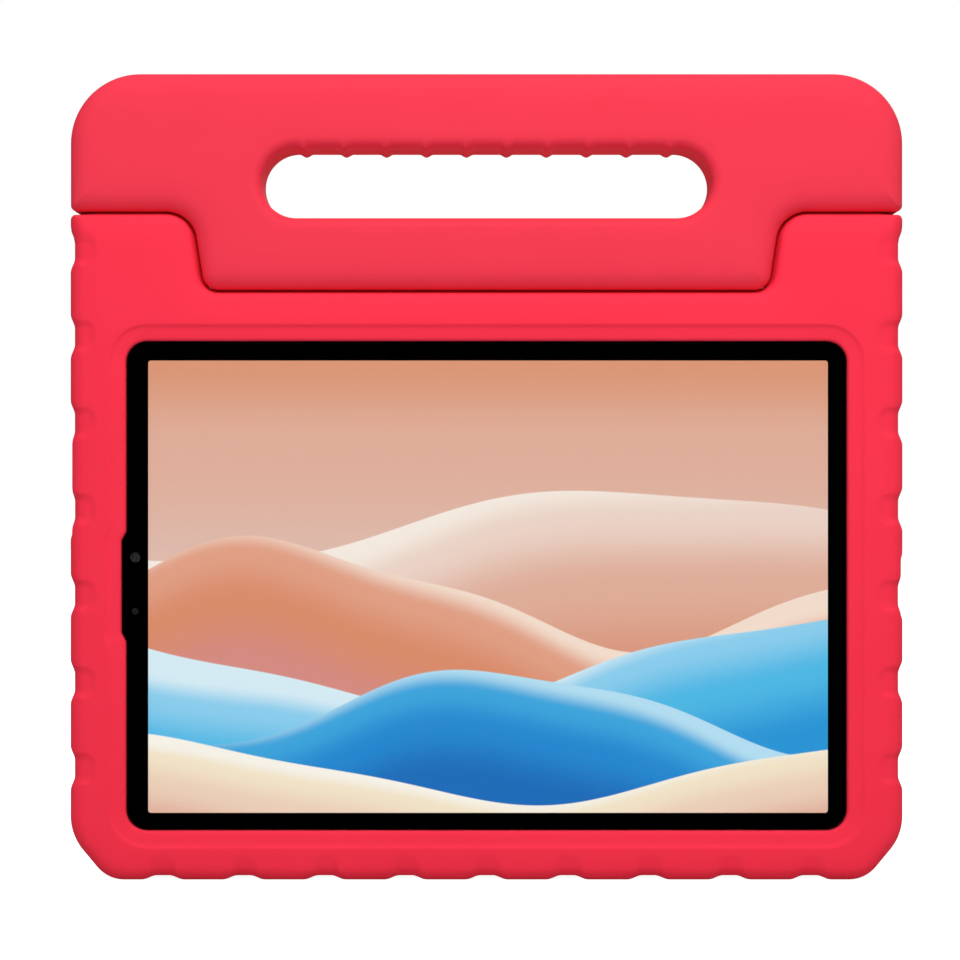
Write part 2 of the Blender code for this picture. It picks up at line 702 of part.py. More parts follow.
def make_hinge(side, word, pivot, metal, plastic):
    """Pin, bush and socket of one end of the hinge."""
    cheek = HINGE_CHEEK_WIDTH / 2
    bore = PIN_RADIUS + FIT_GAP
    bush_end = cheek - BUSH_LENGTH
    place = (0, HINGE_Y, HINGE_Z)
    bush_profile = [
        (0, bush_end),
        (BUSH_RADIUS, bush_end),
        (BUSH_RADIUS, cheek + FIT_GAP),
        (FLANGE_RADIUS, cheek + FIT_GAP),
        (FLANGE_RADIUS, bush_flange_end()),
        (bore, bush_flange_end()),
        (bore, bush_end + BLIND_END),
        (0, bush_end + BLIND_END),
    ]
    bush = turned(f"hinge_bush_{word}", bush_profile, (side, 0, 0), place, plastic)
    follow(bush, pivot)
    socket_end = socket_start() + SOCKET_LENGTH
    socket_profile = [
        (0, socket_end - BLIND_END),
        (bore, socket_end - BLIND_END),
        (bore, socket_start()),
        (BUSH_RADIUS, socket_start()),
        (BUSH_RADIUS, socket_end),
        (0, socket_end),
    ]
    turned(f"hinge_socket_{word}", socket_profile, (side, 0, 0), place, plastic)
    start, end = bush_end + BLIND_END + FIT_GAP, socket_end - BLIND_END - FIT_GAP
    pin_profile = [
        (0, start),
        (PIN_RADIUS - PIN_CHAMFER, start),
        (PIN_RADIUS, start + PIN_CHAMFER),
        (PIN_RADIUS, end - PIN_CHAMFER),
        (PIN_RADIUS - PIN_CHAMFER, end),
        (0, end),
    ]
    turned(f"hinge_pin_{word}", pin_profile, (side, 0, 0), place, metal)


def follow(obj, parent):
    """Parents an object without moving it."""
    obj.parent = parent
    obj.matrix_parent_inverse = Matrix.Translation(parent.location).inverted()


def handle_corners(cheek):
    """Outline of the handle, anticlockwise from its lower left corner."""
    low_edge = SHOULDER_HEIGHT + HALF_GAP
    return [
        (-HALF_WIDTH, low_edge, EDGE_ROUND),
        *split_corners(HALF_GAP, cheek),
        (HALF_WIDTH, low_edge, EDGE_ROUND),
        (HALF_WIDTH, CASE_HEIGHT, HANDLE_CORNER),
        (-HALF_WIDTH, CASE_HEIGHT, HANDLE_CORNER),
    ]


def handle_rows():
    """(inset, y, cheek) rows across the handle's outer band."""
    blend_start = HINGE_Y - FLANGE_RADIUS - FIT_GAP - CHEEK_BLEND_DEPTH
    rows = [(inset, y, 0.0) for inset, y in fillet_rows(FRONT_FILLET, FRONT, 1)]
    for step in range(FILLET_STEPS + 1):
        share = step / FILLET_STEPS
        rows.append((0.0, blend_start + CHEEK_BLEND_DEPTH * share, share))
    rows += [(inset, y, 1.0) for inset, y in reversed(fillet_rows(BACK_FILLET, BACK, -1))]
    return rows


def slot_outline(grow, ridge_share):
    """Outline of the finger slot, with the ridges that hang into it from the grip."""
    half, radius = SLOT_WIDTH / 2, SLOT_OPENING / 2
    centre = half - radius
    points = []
    for side in (1, -1):
        for step in range(SLOT_STEPS + 1):
            angle = side * math.pi / 2 * (2 * step / SLOT_STEPS - 1)
            across = side * (centre + (radius + grow) * math.cos(angle))
            points.append((across, SLOT_MIDDLE + (radius + grow) * math.sin(angle)))
        if side == 1:
            points += slot_ridges(radius + grow, ridge_share)
    return points


def slot_ridges(rise, ridge_share):
    """Points of the slot's top run, right to left, with a rounded bump at each ridge."""
    points = []
    for i in range(RIDGE_COUNT):
        middle = RIDGE_PITCH * ((RIDGE_COUNT - 1) / 2 - i)
        for step in (2, 1, 0, -1, -2):
            drop = RIDGE_PROUD * ridge_share * (1 + math.cos(math.pi * step / 2)) / 2
            points.append((middle + RIDGE_WIDTH / 2 * step / 2, SLOT_MIDDLE + rise - drop))
    return points


def make_handle(pivot, finish):
    """The foam handle with its finger slot and the tongue that hangs between the shoulders."""
    bm = bmesh.new()
    band = [ring(bm, outline(handle_corners(cheek), inset), y) for inset, y, cheek in handle_rows()]
    skin(bm, band)
    front = fillet_rows(SLOT_FILLET, FRONT, 1)
    back = list(reversed(fillet_rows(SLOT_FILLET, BACK, -1)))
    slot = []
    for inset, y in front + back:
        slot.append(ring(bm, slot_outline(inset, 1 - inset / SLOT_FILLET), y))
    skin(bm, slot)
    cap(bm, band[0], slot[0])
    cap(bm, band[-1], slot[-1])
    handle = new_object("handle", bm, finish)
    cut(handle, bush_bore_cutter("bush_bore_left", -1))
    cut(handle, bush_bore_cutter("bush_bore_right", 1))
    handle.data.transform(Matrix.Translation(-pivot.location))
    handle.location = pivot.location
    follow(handle, pivot)
    return handle


def tablet_corners(inset):
    """Outline of the tablet, moved inwards."""
    return rectangle(
        TABLET_SIDE - inset,
        TABLET_ABOVE_FLOOR + inset,
        TABLET_TOP - inset,
        max(TABLET_CORNER - inset, LEAST_RADIUS),
    )


def make_housing(finish):
    """Metal tray of the tablet, with its openings for the camera, keys, port and speakers."""
    bm = bmesh.new()
    edge = TABLET_FLOOR
    rows = [
        (0.0, INNER_FRONT),
        (0.0, TABLET_BACK - edge),
        (edge * ROUND_MIDDLE_SHARE, TABLET_BACK - edge * ROUND_MIDDLE_SHARE),
        (edge, TABLET_BACK),
    ]
    outside = [ring(bm, outline(tablet_corners(inset)), y) for inset, y in rows]
    inside = [
        ring(bm, outline(tablet_corners(TABLET_WALL)), y) for y in (INNER_FRONT, INNER_BACK)
    ]
    skin(bm, outside)
    skin(bm, [outside[0], *inside])
    bm.faces.new(outside[-1])
    bm.faces.new(inside[-1])
    housing = new_object("tablet_housing", bm, finish)
    hole = cylinder(REAR_CAMERA_RADIUS + FIT_GAP, INNER_BACK - PAST, TABLET_BACK + PAST)
    place = (REAR_CAMERA_X, 0, REAR_CAMERA_Z)
    cut(housing, turned("housing_camera_hole", hole, (0, 1, 0), place))
    cut(housing, wall_cutter("port_opening", 1, TABLET_MIDDLE, PORT_WIDTH, PORT_OPENING))
    for name, middle, length in key_places():
        cut(housing, wall_cutter(f"{name}_opening", -1, middle, length, KEY_THICKNESS))
    for name, side, middle in speaker_places():
        opening = wall_cutter(f"{name}_slot", side, middle, SPEAKER_SLOT_LENGTH, SPEAKER_SLOT)
        cut(housing, opening)
    return housing


def wall_outline(middle, length, thickness):
    """Outline of a pill shape on the tablet's edge, as (z, y) points."""
    half, radius = length / 2, thickness / 2
    return [
        (middle + z, EDGE_MIDDLE + y)
        for z, y in outline(
            [
                (-half, -radius, radius * PILL_ROUND),
                (half, -radius, radius * PILL_ROUND),
                (half, radius, radius * PILL_ROUND),
                (-half, radius, radius * PILL_ROUND),
            ]
        )
    ]


def wall_prism(name, side, points, start, end, finish=None):
    """A prism that runs along X through a side wall of the tablet."""
    bm = bmesh.new()
    loops = [[bm.verts.new((side * x, y, z)) for z, y in points] for x in (start, end)]
    skin(bm, loops)
    bm.faces.new(loops[0])
    bm.faces.new(loops[1])
    return new_object(name, bm, finish)


def wall_cutter(name, side, middle, length, thickness):
    """Cutter of an opening in the tablet's side wall, a fit gap wider than what goes in it."""
    points = wall_outline(middle, length + 2 * FIT_GAP, thickness + 2 * FIT_GAP)
    return wall_prism(name, side, points, INNER_SIDE - PAST, TABLET_SIDE + PAST)


def key_places():
    return [
        ("power_key", POWER_KEY_Z, POWER_KEY_LENGTH),
        ("volume_key", VOLUME_KEY_Z, VOLUME_KEY_LENGTH),
    ]


def make_key(name, middle, length, finish):
    """A side key: the cap that stands proud of the wall and the flange that keeps it in."""
    bm = bmesh.new()
    flange_end = INNER_SIDE - FIT_GAP
    cap_points = wall_outline(middle, length, KEY_THICKNESS)
    wide = wall_outline(middle, length + 2 * KEY_FLANGE, KEY_THICKNESS + 2 * KEY_FLANGE)
    tip_points = wall_outline(middle, length - 2 * KEY_CROWN, KEY_THICKNESS - 2 * KEY_CROWN)
    rows = [
        (wide, flange_end - KEY_FLANGE_THICKNESS),
        (wide, flange_end),
        (cap_points, flange_end),
        (cap_points, TABLET_SIDE + KEY_PROUD - KEY_CROWN),
        (tip_points, TABLET_SIDE + KEY_PROUD),
    ]
    loops = [[bm.verts.new((-x, y, z)) for z, y in points] for points, x in rows]
    skin(bm, loops)
    bm.faces.new(loops[0])
    bm.faces.new(loops[-1])
    key = new_object(name, bm, finish)
    key.data.transform(Matrix.Translation((TABLET_SIDE, -EDGE_MIDDLE, -middle)))
    key.location = (-TABLET_SIDE, EDGE_MIDDLE, middle)


def speaker_places():
    """Name, side and height of each speaker."""
    low, high = TABLET_ABOVE_FLOOR + SPEAKER_FROM_CORNER, TABLET_TOP - SPEAKER_FROM_CORNER
    return [
        ("speaker_left_top", -1, high),
        ("speaker_left_bottom", -1, low),
        ("speaker_right_top", 1, high),
        ("speaker_right_bottom", 1, low),
    ]


def make_speaker(name, side, middle, finish):
    """A flat speaker box against the tablet's wall, with its mouth at the wall's slot."""
    outer = INNER_SIDE - FIT_GAP
    corners = [
        (middle - SPEAKER_LENGTH / 2, EDGE_MIDDLE - SPEAKER_THICKNESS / 2, SPEAKER_SLOT),
        (middle + SPEAKER_LENGTH / 2, EDGE_MIDDLE - SPEAKER_THICKNESS / 2, SPEAKER_SLOT),
        (middle + SPEAKER_LENGTH / 2, EDGE_MIDDLE + SPEAKER_THICKNESS / 2, SPEAKER_SLOT),
        (middle - SPEAKER_LENGTH / 2, EDGE_MIDDLE + SPEAKER_THICKNESS / 2, SPEAKER_SLOT),
    ]
    speaker = wall_prism(name, side, outline(corners), outer - SPEAKER_WIDTH, outer, finish)
    mouth = wall_outline(middle, SPEAKER_SLOT_LENGTH, SPEAKER_SLOT)
    cut(speaker, wall_prism(f"{name}_mouth", side, mouth, outer - SPEAKER_WIDTH / 2, outer + PAST))


def make_port(finish):
    """Charging port: an oval metal shell with a contact tongue standing in it."""
    outer = TABLET_SIDE - FIT_GAP
    inner = outer - PORT_LENGTH
    points = wall_outline(TABLET_MIDDLE, PORT_WIDTH, PORT_OPENING)
    shell = wall_prism("charging_port", 1, points, inner, outer, finish)
    width, thickness = PORT_WIDTH - 2 * PORT_SHELL, PORT_OPENING - 2 * PORT_SHELL
    mouth = wall_outline(TABLET_MIDDLE, width, thickness)
    floor = inner + PORT_SHELL
    hollow = wall_prism("port_hollow", 1, mouth, floor, outer + PAST)
    tongue = wall_outline(TABLET_MIDDLE, PORT_TONGUE_WIDTH, PORT_TONGUE_THICKNESS)
    keep = wall_prism("port_tongue", 1, tongue, floor - PORT_SHELL / 2, outer - PORT_TONGUE_SETBACK)
    cut(hollow, keep)
    cut(shell, hollow)


def make_screen(glass, black, lit):
    """Cover glass, the black gasket under its edge and the display panel."""
    plate("cover_glass", tablet_corners(FIT_GAP), GLASS_FRONT, GLASS_BACK, glass)
    display = rectangle(
        DISPLAY_WIDTH / 2,
        TABLET_MIDDLE - DISPLAY_HEIGHT / 2,
        TABLET_MIDDLE + DISPLAY_HEIGHT / 2,
        EDGE_ROUND / 2,
        DISPLAY_SHIFT,
    )
    plate("display_panel", display, INNER_FRONT, INNER_FRONT + DISPLAY_THICKNESS, lit)
    bm = bmesh.new()
    edge = outline(tablet_corners(TABLET_WALL + FIT_GAP))
    opening = outline(display, -FIT_GAP)
    depths = INNER_FRONT, INNER_FRONT + GASKET_THICKNESS
    outer = [ring(bm, edge, y) for y in depths]
    inner = [ring(bm, opening, y) for y in depths]
    skin(bm, outer)
    skin(bm, inner)
    cap(bm, outer[0], inner[0])
    cap(bm, outer[1], inner[1])
    gasket = new_object("screen_gasket", bm, black)
    for name, radius, height in (
        ("gasket_camera_hole", FRONT_CAMERA_RADIUS, CAMERA_ABOVE_MIDDLE),
        ("gasket_sensor_hole", LIGHT_SENSOR_RADIUS, -SENSOR_BELOW_MIDDLE),
    ):
        hole = cylinder(radius + FIT_GAP, INNER_FRONT - PAST, INNER_FRONT + GASKET_THICKNESS + PAST)
        cut(gasket, turned(name, hole, (0, 1, 0), (SENSOR_X, 0, TABLET_MIDDLE + height)))


def make_sensors(black):
    """Front camera and light sensor, seen through the glass in the left border."""
    for name, radius, length, height in (
        ("front_camera", FRONT_CAMERA_RADIUS, FRONT_CAMERA_LENGTH, CAMERA_ABOVE_MIDDLE),
        ("light_sensor", LIGHT_SENSOR_RADIUS, LIGHT_SENSOR_LENGTH, -SENSOR_BELOW_MIDDLE),
    ):
        dish = radius * SENSOR_DISH_SHARE
        profile = [
            (0, INNER_FRONT + dish),
            (radius / 2, INNER_FRONT + dish),
            (radius * SENSOR_RIM_SHARE, INNER_FRONT),
            (radius, INNER_FRONT),
            (radius, INNER_FRONT + length),
            (0, INNER_FRONT + length),
        ]
        turned(name, profile, (0, 1, 0), (SENSOR_X, 0, TABLET_MIDDLE + height), black)


def make_rear_camera(black, metal, glass):
    """Rear camera: barrel through the housing, ring round it and lens glass in the ring."""
    place = (REAR_CAMERA_X, 0, REAR_CAMERA_Z)
    barrel_end = TABLET_BACK
    barrel = cylinder(REAR_CAMERA_RADIUS, barrel_end - REAR_CAMERA_LENGTH, barrel_end)
    turned("rear_camera", barrel, (0, 1, 0), place, black)
    ring_start = TABLET_BACK + FIT_GAP
    ring_end = ring_start + RING_THICKNESS
    bore = LENS_RADIUS + FIT_GAP
    ring_profile = [
        (bore, ring_start),
        (RING_RADIUS, ring_start),
        (RING_RADIUS, ring_end - RING_CHAMFER),
        (RING_RADIUS - RING_CHAMFER, ring_end),
        (bore, ring_end),
        (bore, ring_start),
    ]
    turned_ring("rear_camera_ring", ring_profile, place, metal)
    lens = cylinder(LENS_RADIUS, ring_start, ring_end - FIT_GAP)
    turned("rear_camera_lens", lens, (0, 1, 0), place, glass)


def turned_ring(name, profile, place, finish):
    """A ring turned about the Y direction from a closed profile."""
    bm = bmesh.new()
    loops = []
    for radius, length in profile[:-1]:
        turns = [2 * math.pi * side / ROUND_SIDES for side in range(ROUND_SIDES)]
        loops.append(
            [bm.verts.new((radius * math.cos(t), length, radius * math.sin(t))) for t in turns]
        )
    skin(bm, [*loops, loops[0]])
    obj = new_object(name, bm, finish)
    obj.location = place
    return obj


def make_batteries(finish):
    """Two flat cells side by side behind the display."""
    apart = BATTERY_WIDTH / 2 + BATTERY_SPACING / 2
    back = INNER_BACK - FIT_GAP
    low, high = TABLET_MIDDLE - BATTERY_HEIGHT / 2, TABLET_MIDDLE + BATTERY_HEIGHT / 2
    for name, side in (("battery_left", -1), ("battery_right", 1)):
        corners = rectangle(BATTERY_WIDTH / 2, low, high, EDGE_ROUND, side * apart)
        plate(name, corners, back - BATTERY_THICKNESS, back, finish)


def make_board(finish):
    """Main board beside the left cell, with a shielded block standing on it."""
    middle = BOARD_WIDTH / 2 - BOARD_LEFT
    low = TABLET_ABOVE_FLOOR + BOARD_FROM_EDGE
    high = REAR_CAMERA_Z - RING_RADIUS - FIT_GAP
    back = INNER_BACK - FIT_GAP
    bm = bmesh.new()
    board = outline(rectangle(BOARD_WIDTH / 2, low, high, EDGE_ROUND / 2, middle))
    shield_corners = rectangle(
        BOARD_WIDTH / 2 - EDGE_ROUND,
        TABLET_MIDDLE - SHIELD_LENGTH,
        TABLET_MIDDLE,
        EDGE_ROUND / 4,
        middle,
    )
    shield = outline(shield_corners)
    face = back - BOARD_THICKNESS
    base = [ring(bm, board, back), ring(bm, board, face)]
    block = [ring(bm, shield, face), ring(bm, shield, face - SHIELD_HEIGHT)]
    skin(bm, base)
    skin(bm, block)
    bm.faces.new(base[0])
    bm.faces.new(block[1])
    cap(bm, base[1], block[0])
    return new_object("main_board", bm, finish)


def main():
    for old in list(bpy.data.objects):
        bpy.data.objects.remove(old)
    foam = material("red_foam", (0.86, 0.045, 0.075), 0.75)
    handle_foam = material("red_foam_handle", (0.88, 0.05, 0.08), 0.75)
    steel = material("pin_steel", (0.55, 0.56, 0.58), 0.35, 1.0)
    nylon = material("hinge_nylon", (0.75, 0.74, 0.72), 0.5)
    grey_metal = material("tablet_aluminium", (0.36, 0.37, 0.39), 0.4, 1.0)
    glass = material("cover_glass", (0.02, 0.02, 0.025), 0.05)
    black = material("screen_black", (0.01, 0.01, 0.012), 0.4)
    lit = material("screen_picture", (0.85, 0.6, 0.5), 0.3)
    pouch = material("battery_pouch", (0.12, 0.12, 0.13), 0.45)
    laminate = material("board_laminate", (0.02, 0.12, 0.06), 0.5)
    pivot = bpy.data.objects.new("handle_pivot", None)
    pivot.location = (0, HINGE_Y, HINGE_Z)
    bpy.context.scene.collection.objects.link(pivot)
    make_body(foam)
    make_handle(pivot, handle_foam)
    for side, word in ((-1, "left"), (1, "right")):
        make_hinge(side, word, pivot, steel, nylon)
    make_housing(grey_metal)
    make_screen(glass, black, lit)
    make_sensors(black)
    make_rear_camera(black, grey_metal, glass)
    make_batteries(pouch)
    make_board(laminate)
    make_port(steel)
    for name, side, middle in speaker_places():
        make_speaker(name, side, middle, black)
    for name, middle, length in key_places():
        make_key(name, middle, length, grey_metal)


main()
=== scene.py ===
"""Looks of a kids tablet case: moulded foam round a small tablet, with a handle that folds back.

Metres, +Z up, the screen facing -Y, standing on z = 0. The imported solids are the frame. The foam and the
rear camera are modelled again with fine soft edges, and a black print is added behind the border of the
glass. The other pieces keep their solids and get their finishes.
"""

import logging
import math
from collections.abc import Callable, Sequence
from dataclasses import dataclass, field
from enum import Enum

import bmesh
import bpy
import numpy as np
from mathutils import Matrix, Vector
from mathutils.geometry import delaunay_2d_cdt


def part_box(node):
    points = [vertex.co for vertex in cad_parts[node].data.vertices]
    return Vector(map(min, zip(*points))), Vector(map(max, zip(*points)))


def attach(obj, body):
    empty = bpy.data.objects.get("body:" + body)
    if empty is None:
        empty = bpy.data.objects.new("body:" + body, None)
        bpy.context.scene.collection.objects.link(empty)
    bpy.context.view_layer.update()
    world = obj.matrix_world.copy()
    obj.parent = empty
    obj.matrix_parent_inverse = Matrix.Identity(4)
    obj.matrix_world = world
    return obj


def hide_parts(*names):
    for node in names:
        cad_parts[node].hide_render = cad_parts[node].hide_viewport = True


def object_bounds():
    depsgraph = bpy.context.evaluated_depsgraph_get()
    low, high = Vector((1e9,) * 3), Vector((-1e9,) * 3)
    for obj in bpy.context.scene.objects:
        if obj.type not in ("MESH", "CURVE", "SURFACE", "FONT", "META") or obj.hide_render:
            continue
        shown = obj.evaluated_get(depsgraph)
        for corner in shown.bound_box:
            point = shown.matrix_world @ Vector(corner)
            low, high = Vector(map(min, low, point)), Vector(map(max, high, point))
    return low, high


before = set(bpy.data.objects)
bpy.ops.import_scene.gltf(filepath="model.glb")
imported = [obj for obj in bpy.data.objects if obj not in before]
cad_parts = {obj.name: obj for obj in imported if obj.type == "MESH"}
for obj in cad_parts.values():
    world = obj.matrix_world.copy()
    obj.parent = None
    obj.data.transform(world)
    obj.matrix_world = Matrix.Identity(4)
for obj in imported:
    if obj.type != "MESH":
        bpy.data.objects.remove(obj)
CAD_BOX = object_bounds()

LOG = logging.getLogger("tablet_case")
Point = tuple[float, float]
Row = list[bmesh.types.BMVert]
Object = bpy.types.Object
Material = bpy.types.Material
Tree = bpy.types.NodeTree
Socket = bpy.types.NodeSocket
DepthField = Callable[[np.ndarray], np.ndarray]

MM = 0.001
STEP = 1.2 * MM
FINE_STEP = 0.45 * MM
NET_SPACING = 1.5 * MM
BACK_NET_SPACING = 2.4 * MM
ROLL_STEPS = 9
LEAST_ARC_STEPS = 6
ARC_STEPS_PER_STEP = 1.2
LEAST_RADIUS = 0.2 * MM
LEAD_POINTS = 3
CLEAR_OF_EDGE = 0.55
BATCH = 2000
INSIDE_EDGES = 1
TURNED_SIDES = 96
SHARP_ANGLE = math.radians(42.0)
RAMP_POWER = 1.5
RIPPLES_PER_WAVE = 2.7
RIPPLE_SHIFT = 2.2
PAST = 1.0 * MM
FIT_GAP = 0.3 * MM
BORE_RADIUS = 4.8 * MM
SOFTEN_ROUNDS = 6
FRONT = CAD_BOX[0].y
BACK = CAD_BOX[1].y
HALF_WIDTH = CAD_BOX[1].x
CASE_HEIGHT = CAD_BOX[1].z
GLASS_LOW, GLASS_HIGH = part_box("cover_glass")
DISPLAY_LOW, DISPLAY_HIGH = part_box("display_panel")
HOUSING_LOW, HOUSING_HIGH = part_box("tablet_housing")
HOUSING_MIDDLE = (HOUSING_LOW.z + HOUSING_HIGH.z) / 2
PIN_LOW, PIN_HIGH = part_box("hinge_pin_right")
HINGE_Y = (PIN_LOW.y + PIN_HIGH.y) / 2
HINGE_Z = (PIN_LOW.z + PIN_HIGH.z) / 2


class Side(Enum):
    """Left and right, with the sign of x on each."""

    LEFT = -1
    RIGHT = 1


class Face(Enum):
    """The face or wall that a row of points belongs to."""

    FRONT = "front"
    WALL = "wall"
    BACK = "back"


class Body(Enum):
    """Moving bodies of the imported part."""

    CASE = "case"
    HANDLE = "handle"


@dataclass(frozen=True)
class Corner:
    """One corner of an outline in the XZ plane, with the radius that rounds it."""

    x: float
    z: float
    radius: float


@dataclass(frozen=True)
class Roll:
    """Profile of a moulded edge that rolls from a face into the wall.

    Attributes:
        reach: How far in from the wall the roll starts.
        depth: How far behind the face it ends on the wall.
    """

    reach: float
    depth: float

    def rows(self) -> list[tuple[float, float, float]]:
        """Rows across the roll.

        Returns:
            The inset from the wall, the fall behind the face and the share of the turn, row by row.
        """
        rows = []
        for step in range(ROLL_STEPS + 1):
            share = step / ROLL_STEPS
            angle = math.pi / 2 * share
            inset, fall = self.reach * (1 - math.sin(angle)), self.depth * (1 - math.cos(angle))
            rows.append((inset, fall, share))
        return rows


@dataclass(frozen=True)
class Crown:
    """Slow fall of a soft face towards an edge.

    Attributes:
        rise: Fall at the edge.
        reach: Distance from the edge at which the face is flat.
    """

    rise: float
    reach: float

    def fall(self, distance: np.ndarray) -> np.ndarray:
        """Fall of the face at each distance from the edge."""
        return self.rise * np.clip(1 - distance / self.reach, 0.0, 1.0) ** 2


def linear(colour: str) -> tuple[float, float, float, float]:
    """Turns an sRGB hex colour into linear light.

    Args:
        colour: Colour written as "#RRGGBB".

    Returns:
        Red, green, blue and an alpha of 1.
    """
    channels = []
    for start in (1, 3, 5):
        value = int(colour[start : start + 2], 16) / 255
        channels.append(value / 12.92 if value <= 0.04045 else ((value + 0.055) / 1.055) ** 2.4)
    return channels[0], channels[1], channels[2], 1.0


def add_node(tree: Tree, kind: str, inputs: dict | None = None, **settings) -> bpy.types.Node:
    """Adds one node with its settings and links.

    Args:
        tree: Node tree that gets the node.
        kind: Blender's class name of the node.
        inputs: Value or output socket of each input, by name or number.
        **settings: Properties of the node.

    Returns:
        The new node.
    """
    node = tree.nodes.new(kind)
    for name, value in settings.items():
        setattr(node, name, value)
    for key, value in (inputs or {}).items():
        if isinstance(value, Socket):
            tree.links.new(value, node.inputs[key])
        else:
            node.inputs[key].default_value = value
    return node


def empty_material(name: str) -> tuple[Material, Tree]:
    """Makes a material with an empty node tree.

    Args:
        name: Name of the material.

    Returns:
        The material and its node tree.
    """
    made = bpy.data.materials.new(name)
    made.use_nodes = True
    made.node_tree.nodes.clear()
    return made, made.node_tree


@dataclass(frozen=True)
class Finish:
    """An opaque finish with a mottled colour and a fine grain.

    Attributes:
        name: Name of the real material.
        light: Colour of its lighter patches.
        dark: Colour of its darker patches.
        patch: Size of a patch.
        grain: Width of one grain.
        height: Height of the grain.
        roughness: Roughness of the surface.
        rough_spread: How much the roughness varies from patch to patch.
        metallic: 1 for a metal.
        specular: Specular level.
        stretch: How much longer the grain is along X, Y and Z.
    """

    name: str
    light: str
    dark: str
    patch: float
    grain: float
    height: float
    roughness: float
    rough_spread: float = 0.0
    metallic: float = 0.0
    specular: float = 0.5
    stretch: tuple[float, float, float] = (1.0, 1.0, 1.0)

    def make(self) -> Material:
        """Builds the material.

        Returns:
            The finished material.
        """
        made, tree = empty_material(self.name)
        place = add_node(tree, "ShaderNodeTexCoord").outputs["Object"]
        patches = add_node(
            tree, "ShaderNodeTexNoise", {"Vector": place, "Scale": 1 / self.patch, "Detail": 3.0}
        ).outputs["Fac"]
        colour = add_node(
            tree,
            "ShaderNodeMix",
            {0: patches, 6: linear(self.dark), 7: linear(self.light)},
            data_type="RGBA",
        ).outputs[2]
        scale = tuple(1 / (self.grain * longer) for longer in self.stretch)
        along = add_node(tree, "ShaderNodeMapping", {"Vector": place, "Scale": scale}).outputs[0]
        grain = add_node(
            tree, "ShaderNodeTexNoise", {"Vector": along, "Scale": 1.0, "Detail": 4.0}
        ).outputs["Fac"]
        normal = add_node(
            tree, "ShaderNodeBump", {"Height": grain, "Distance": self.height, "Strength": 1.0}
        ).outputs[0]
        shader = add_node(
            tree,
            "ShaderNodeBsdfPrincipled",
            {"Base Color": colour, "Normal": normal, "Metallic": self.metallic},
        )
        shader.inputs["Specular IOR Level"].default_value = self.specular
        shader.inputs["Roughness"].default_value = self.roughness
        if self.rough_spread:
            low, high = self.roughness - self.rough_spread, self.roughness + self.rough_spread
            spread = add_node(tree, "ShaderNodeMapRange", {0: patches, 3: low, 4: high}).outputs[0]
            tree.links.new(spread, shader.inputs["Roughness"])
        add_node(tree, "ShaderNodeOutputMaterial", {"Surface": shader.outputs[0]})
        return made


# EVA foam, compression moulded: an even matt red with no sharp highlight. The real skin is finer than
# the render can show, so its grain is drawn 0.9 mm wide.
EVA_FOAM = Finish(
    "eva_foam_red", "#F7304A", "#F22B45", 26.0 * MM, 0.9 * MM, 0.02 * MM, 0.75, 0.03, specular=0.2
)

# The handle is a second moulding of the same foam, with the same drawn grain. Its colour is painted a shade
# paler and less red than the frame's: a painted sheen that stands for the soft light falling on the handle.
EVA_FOAM_HANDLE_PAINTED_SHEEN = Finish(
    "eva_foam_red_handle_painted_sheen", "#EE374E", "#E93248", 30.0 * MM, 0.9 * MM, 0.02 * MM, 0.75, 0.03, specular=0.2
)

# Anodised aluminium, bead blasted: a soft grey metal.
ANODISED_ALUMINIUM = Finish(
    "anodised_aluminium", "#8A8D92", "#7C7F84", 12.0 * MM, 0.12 * MM, 0.004 * MM, 0.38, 0.04, metallic=1.0
)

# Ground stainless steel: bright, with fine lines that run round X, the axis of the pins.
STAINLESS_STEEL = Finish(
    "stainless_steel", "#C9CBCD", "#B4B7BA", 4.0 * MM, 0.10 * MM, 0.003 * MM, 0.26, 0.05,
    metallic=1.0, stretch=(1.0, 12.0, 12.0),
)

# Natural nylon, injection moulded: off-white with a soft sheen.
NATURAL_NYLON = Finish("natural_nylon", "#E3DFD3", "#D6D1C3", 5.0 * MM, 0.25 * MM, 0.006 * MM, 0.48, 0.05)

# Black closed-cell gasket foam: nearly no light comes back from it.
GASKET_FOAM = Finish("black_gasket_foam", "#0B0B0C", "#060607", 4.0 * MM, 0.30 * MM, 0.02 * MM, 0.85)

# Black ink printed behind the glass: dense, even and flat.
SCREEN_INK = Finish(
    "black_screen_ink", "#030303", "#010101", 20.0 * MM, 0.20 * MM, 0.001 * MM, 0.6, specular=0.0
)

# Black polycarbonate of the camera barrel and the speaker boxes, spark eroded to a fine matt.
BLACK_POLYCARBONATE = Finish(
    "black_polycarbonate", "#1B1B1D", "#121214", 3.0 * MM, 0.18 * MM, 0.008 * MM, 0.5, 0.05
)

# Smoked acrylic window of the front camera and the light sensor: dark grey against the black ink.
SMOKED_ACRYLIC = Finish("smoked_acrylic", "#4A4A4E", "#3A3A3E", 2.0 * MM, 0.20 * MM, 0.001 * MM, 0.3)

# Aluminium-laminate pouch of the cells: dark grey film with slow ripples from the vacuum seal.
POUCH_FILM = Finish(
    "pouch_film", "#5A5C60", "#46484C", 9.0 * MM, 4.0 * MM, 0.06 * MM, 0.35, 0.08, metallic=1.0
)

# Glass-fibre laminate of the board under green solder mask: a faintly uneven, glossy green.
SOLDER_MASK = Finish(
    "green_solder_mask", "#1C5A38", "#12432A", 2.5 * MM, 0.50 * MM, 0.01 * MM, 0.34, 0.06
)

# Black card of the studio's flag: dull and without any highlight.
BLACK_CARD = Finish("black_card", "#020202", "#010101", 0.5, 2.0 * MM, 0.002 * MM, 0.9, specular=0.0)


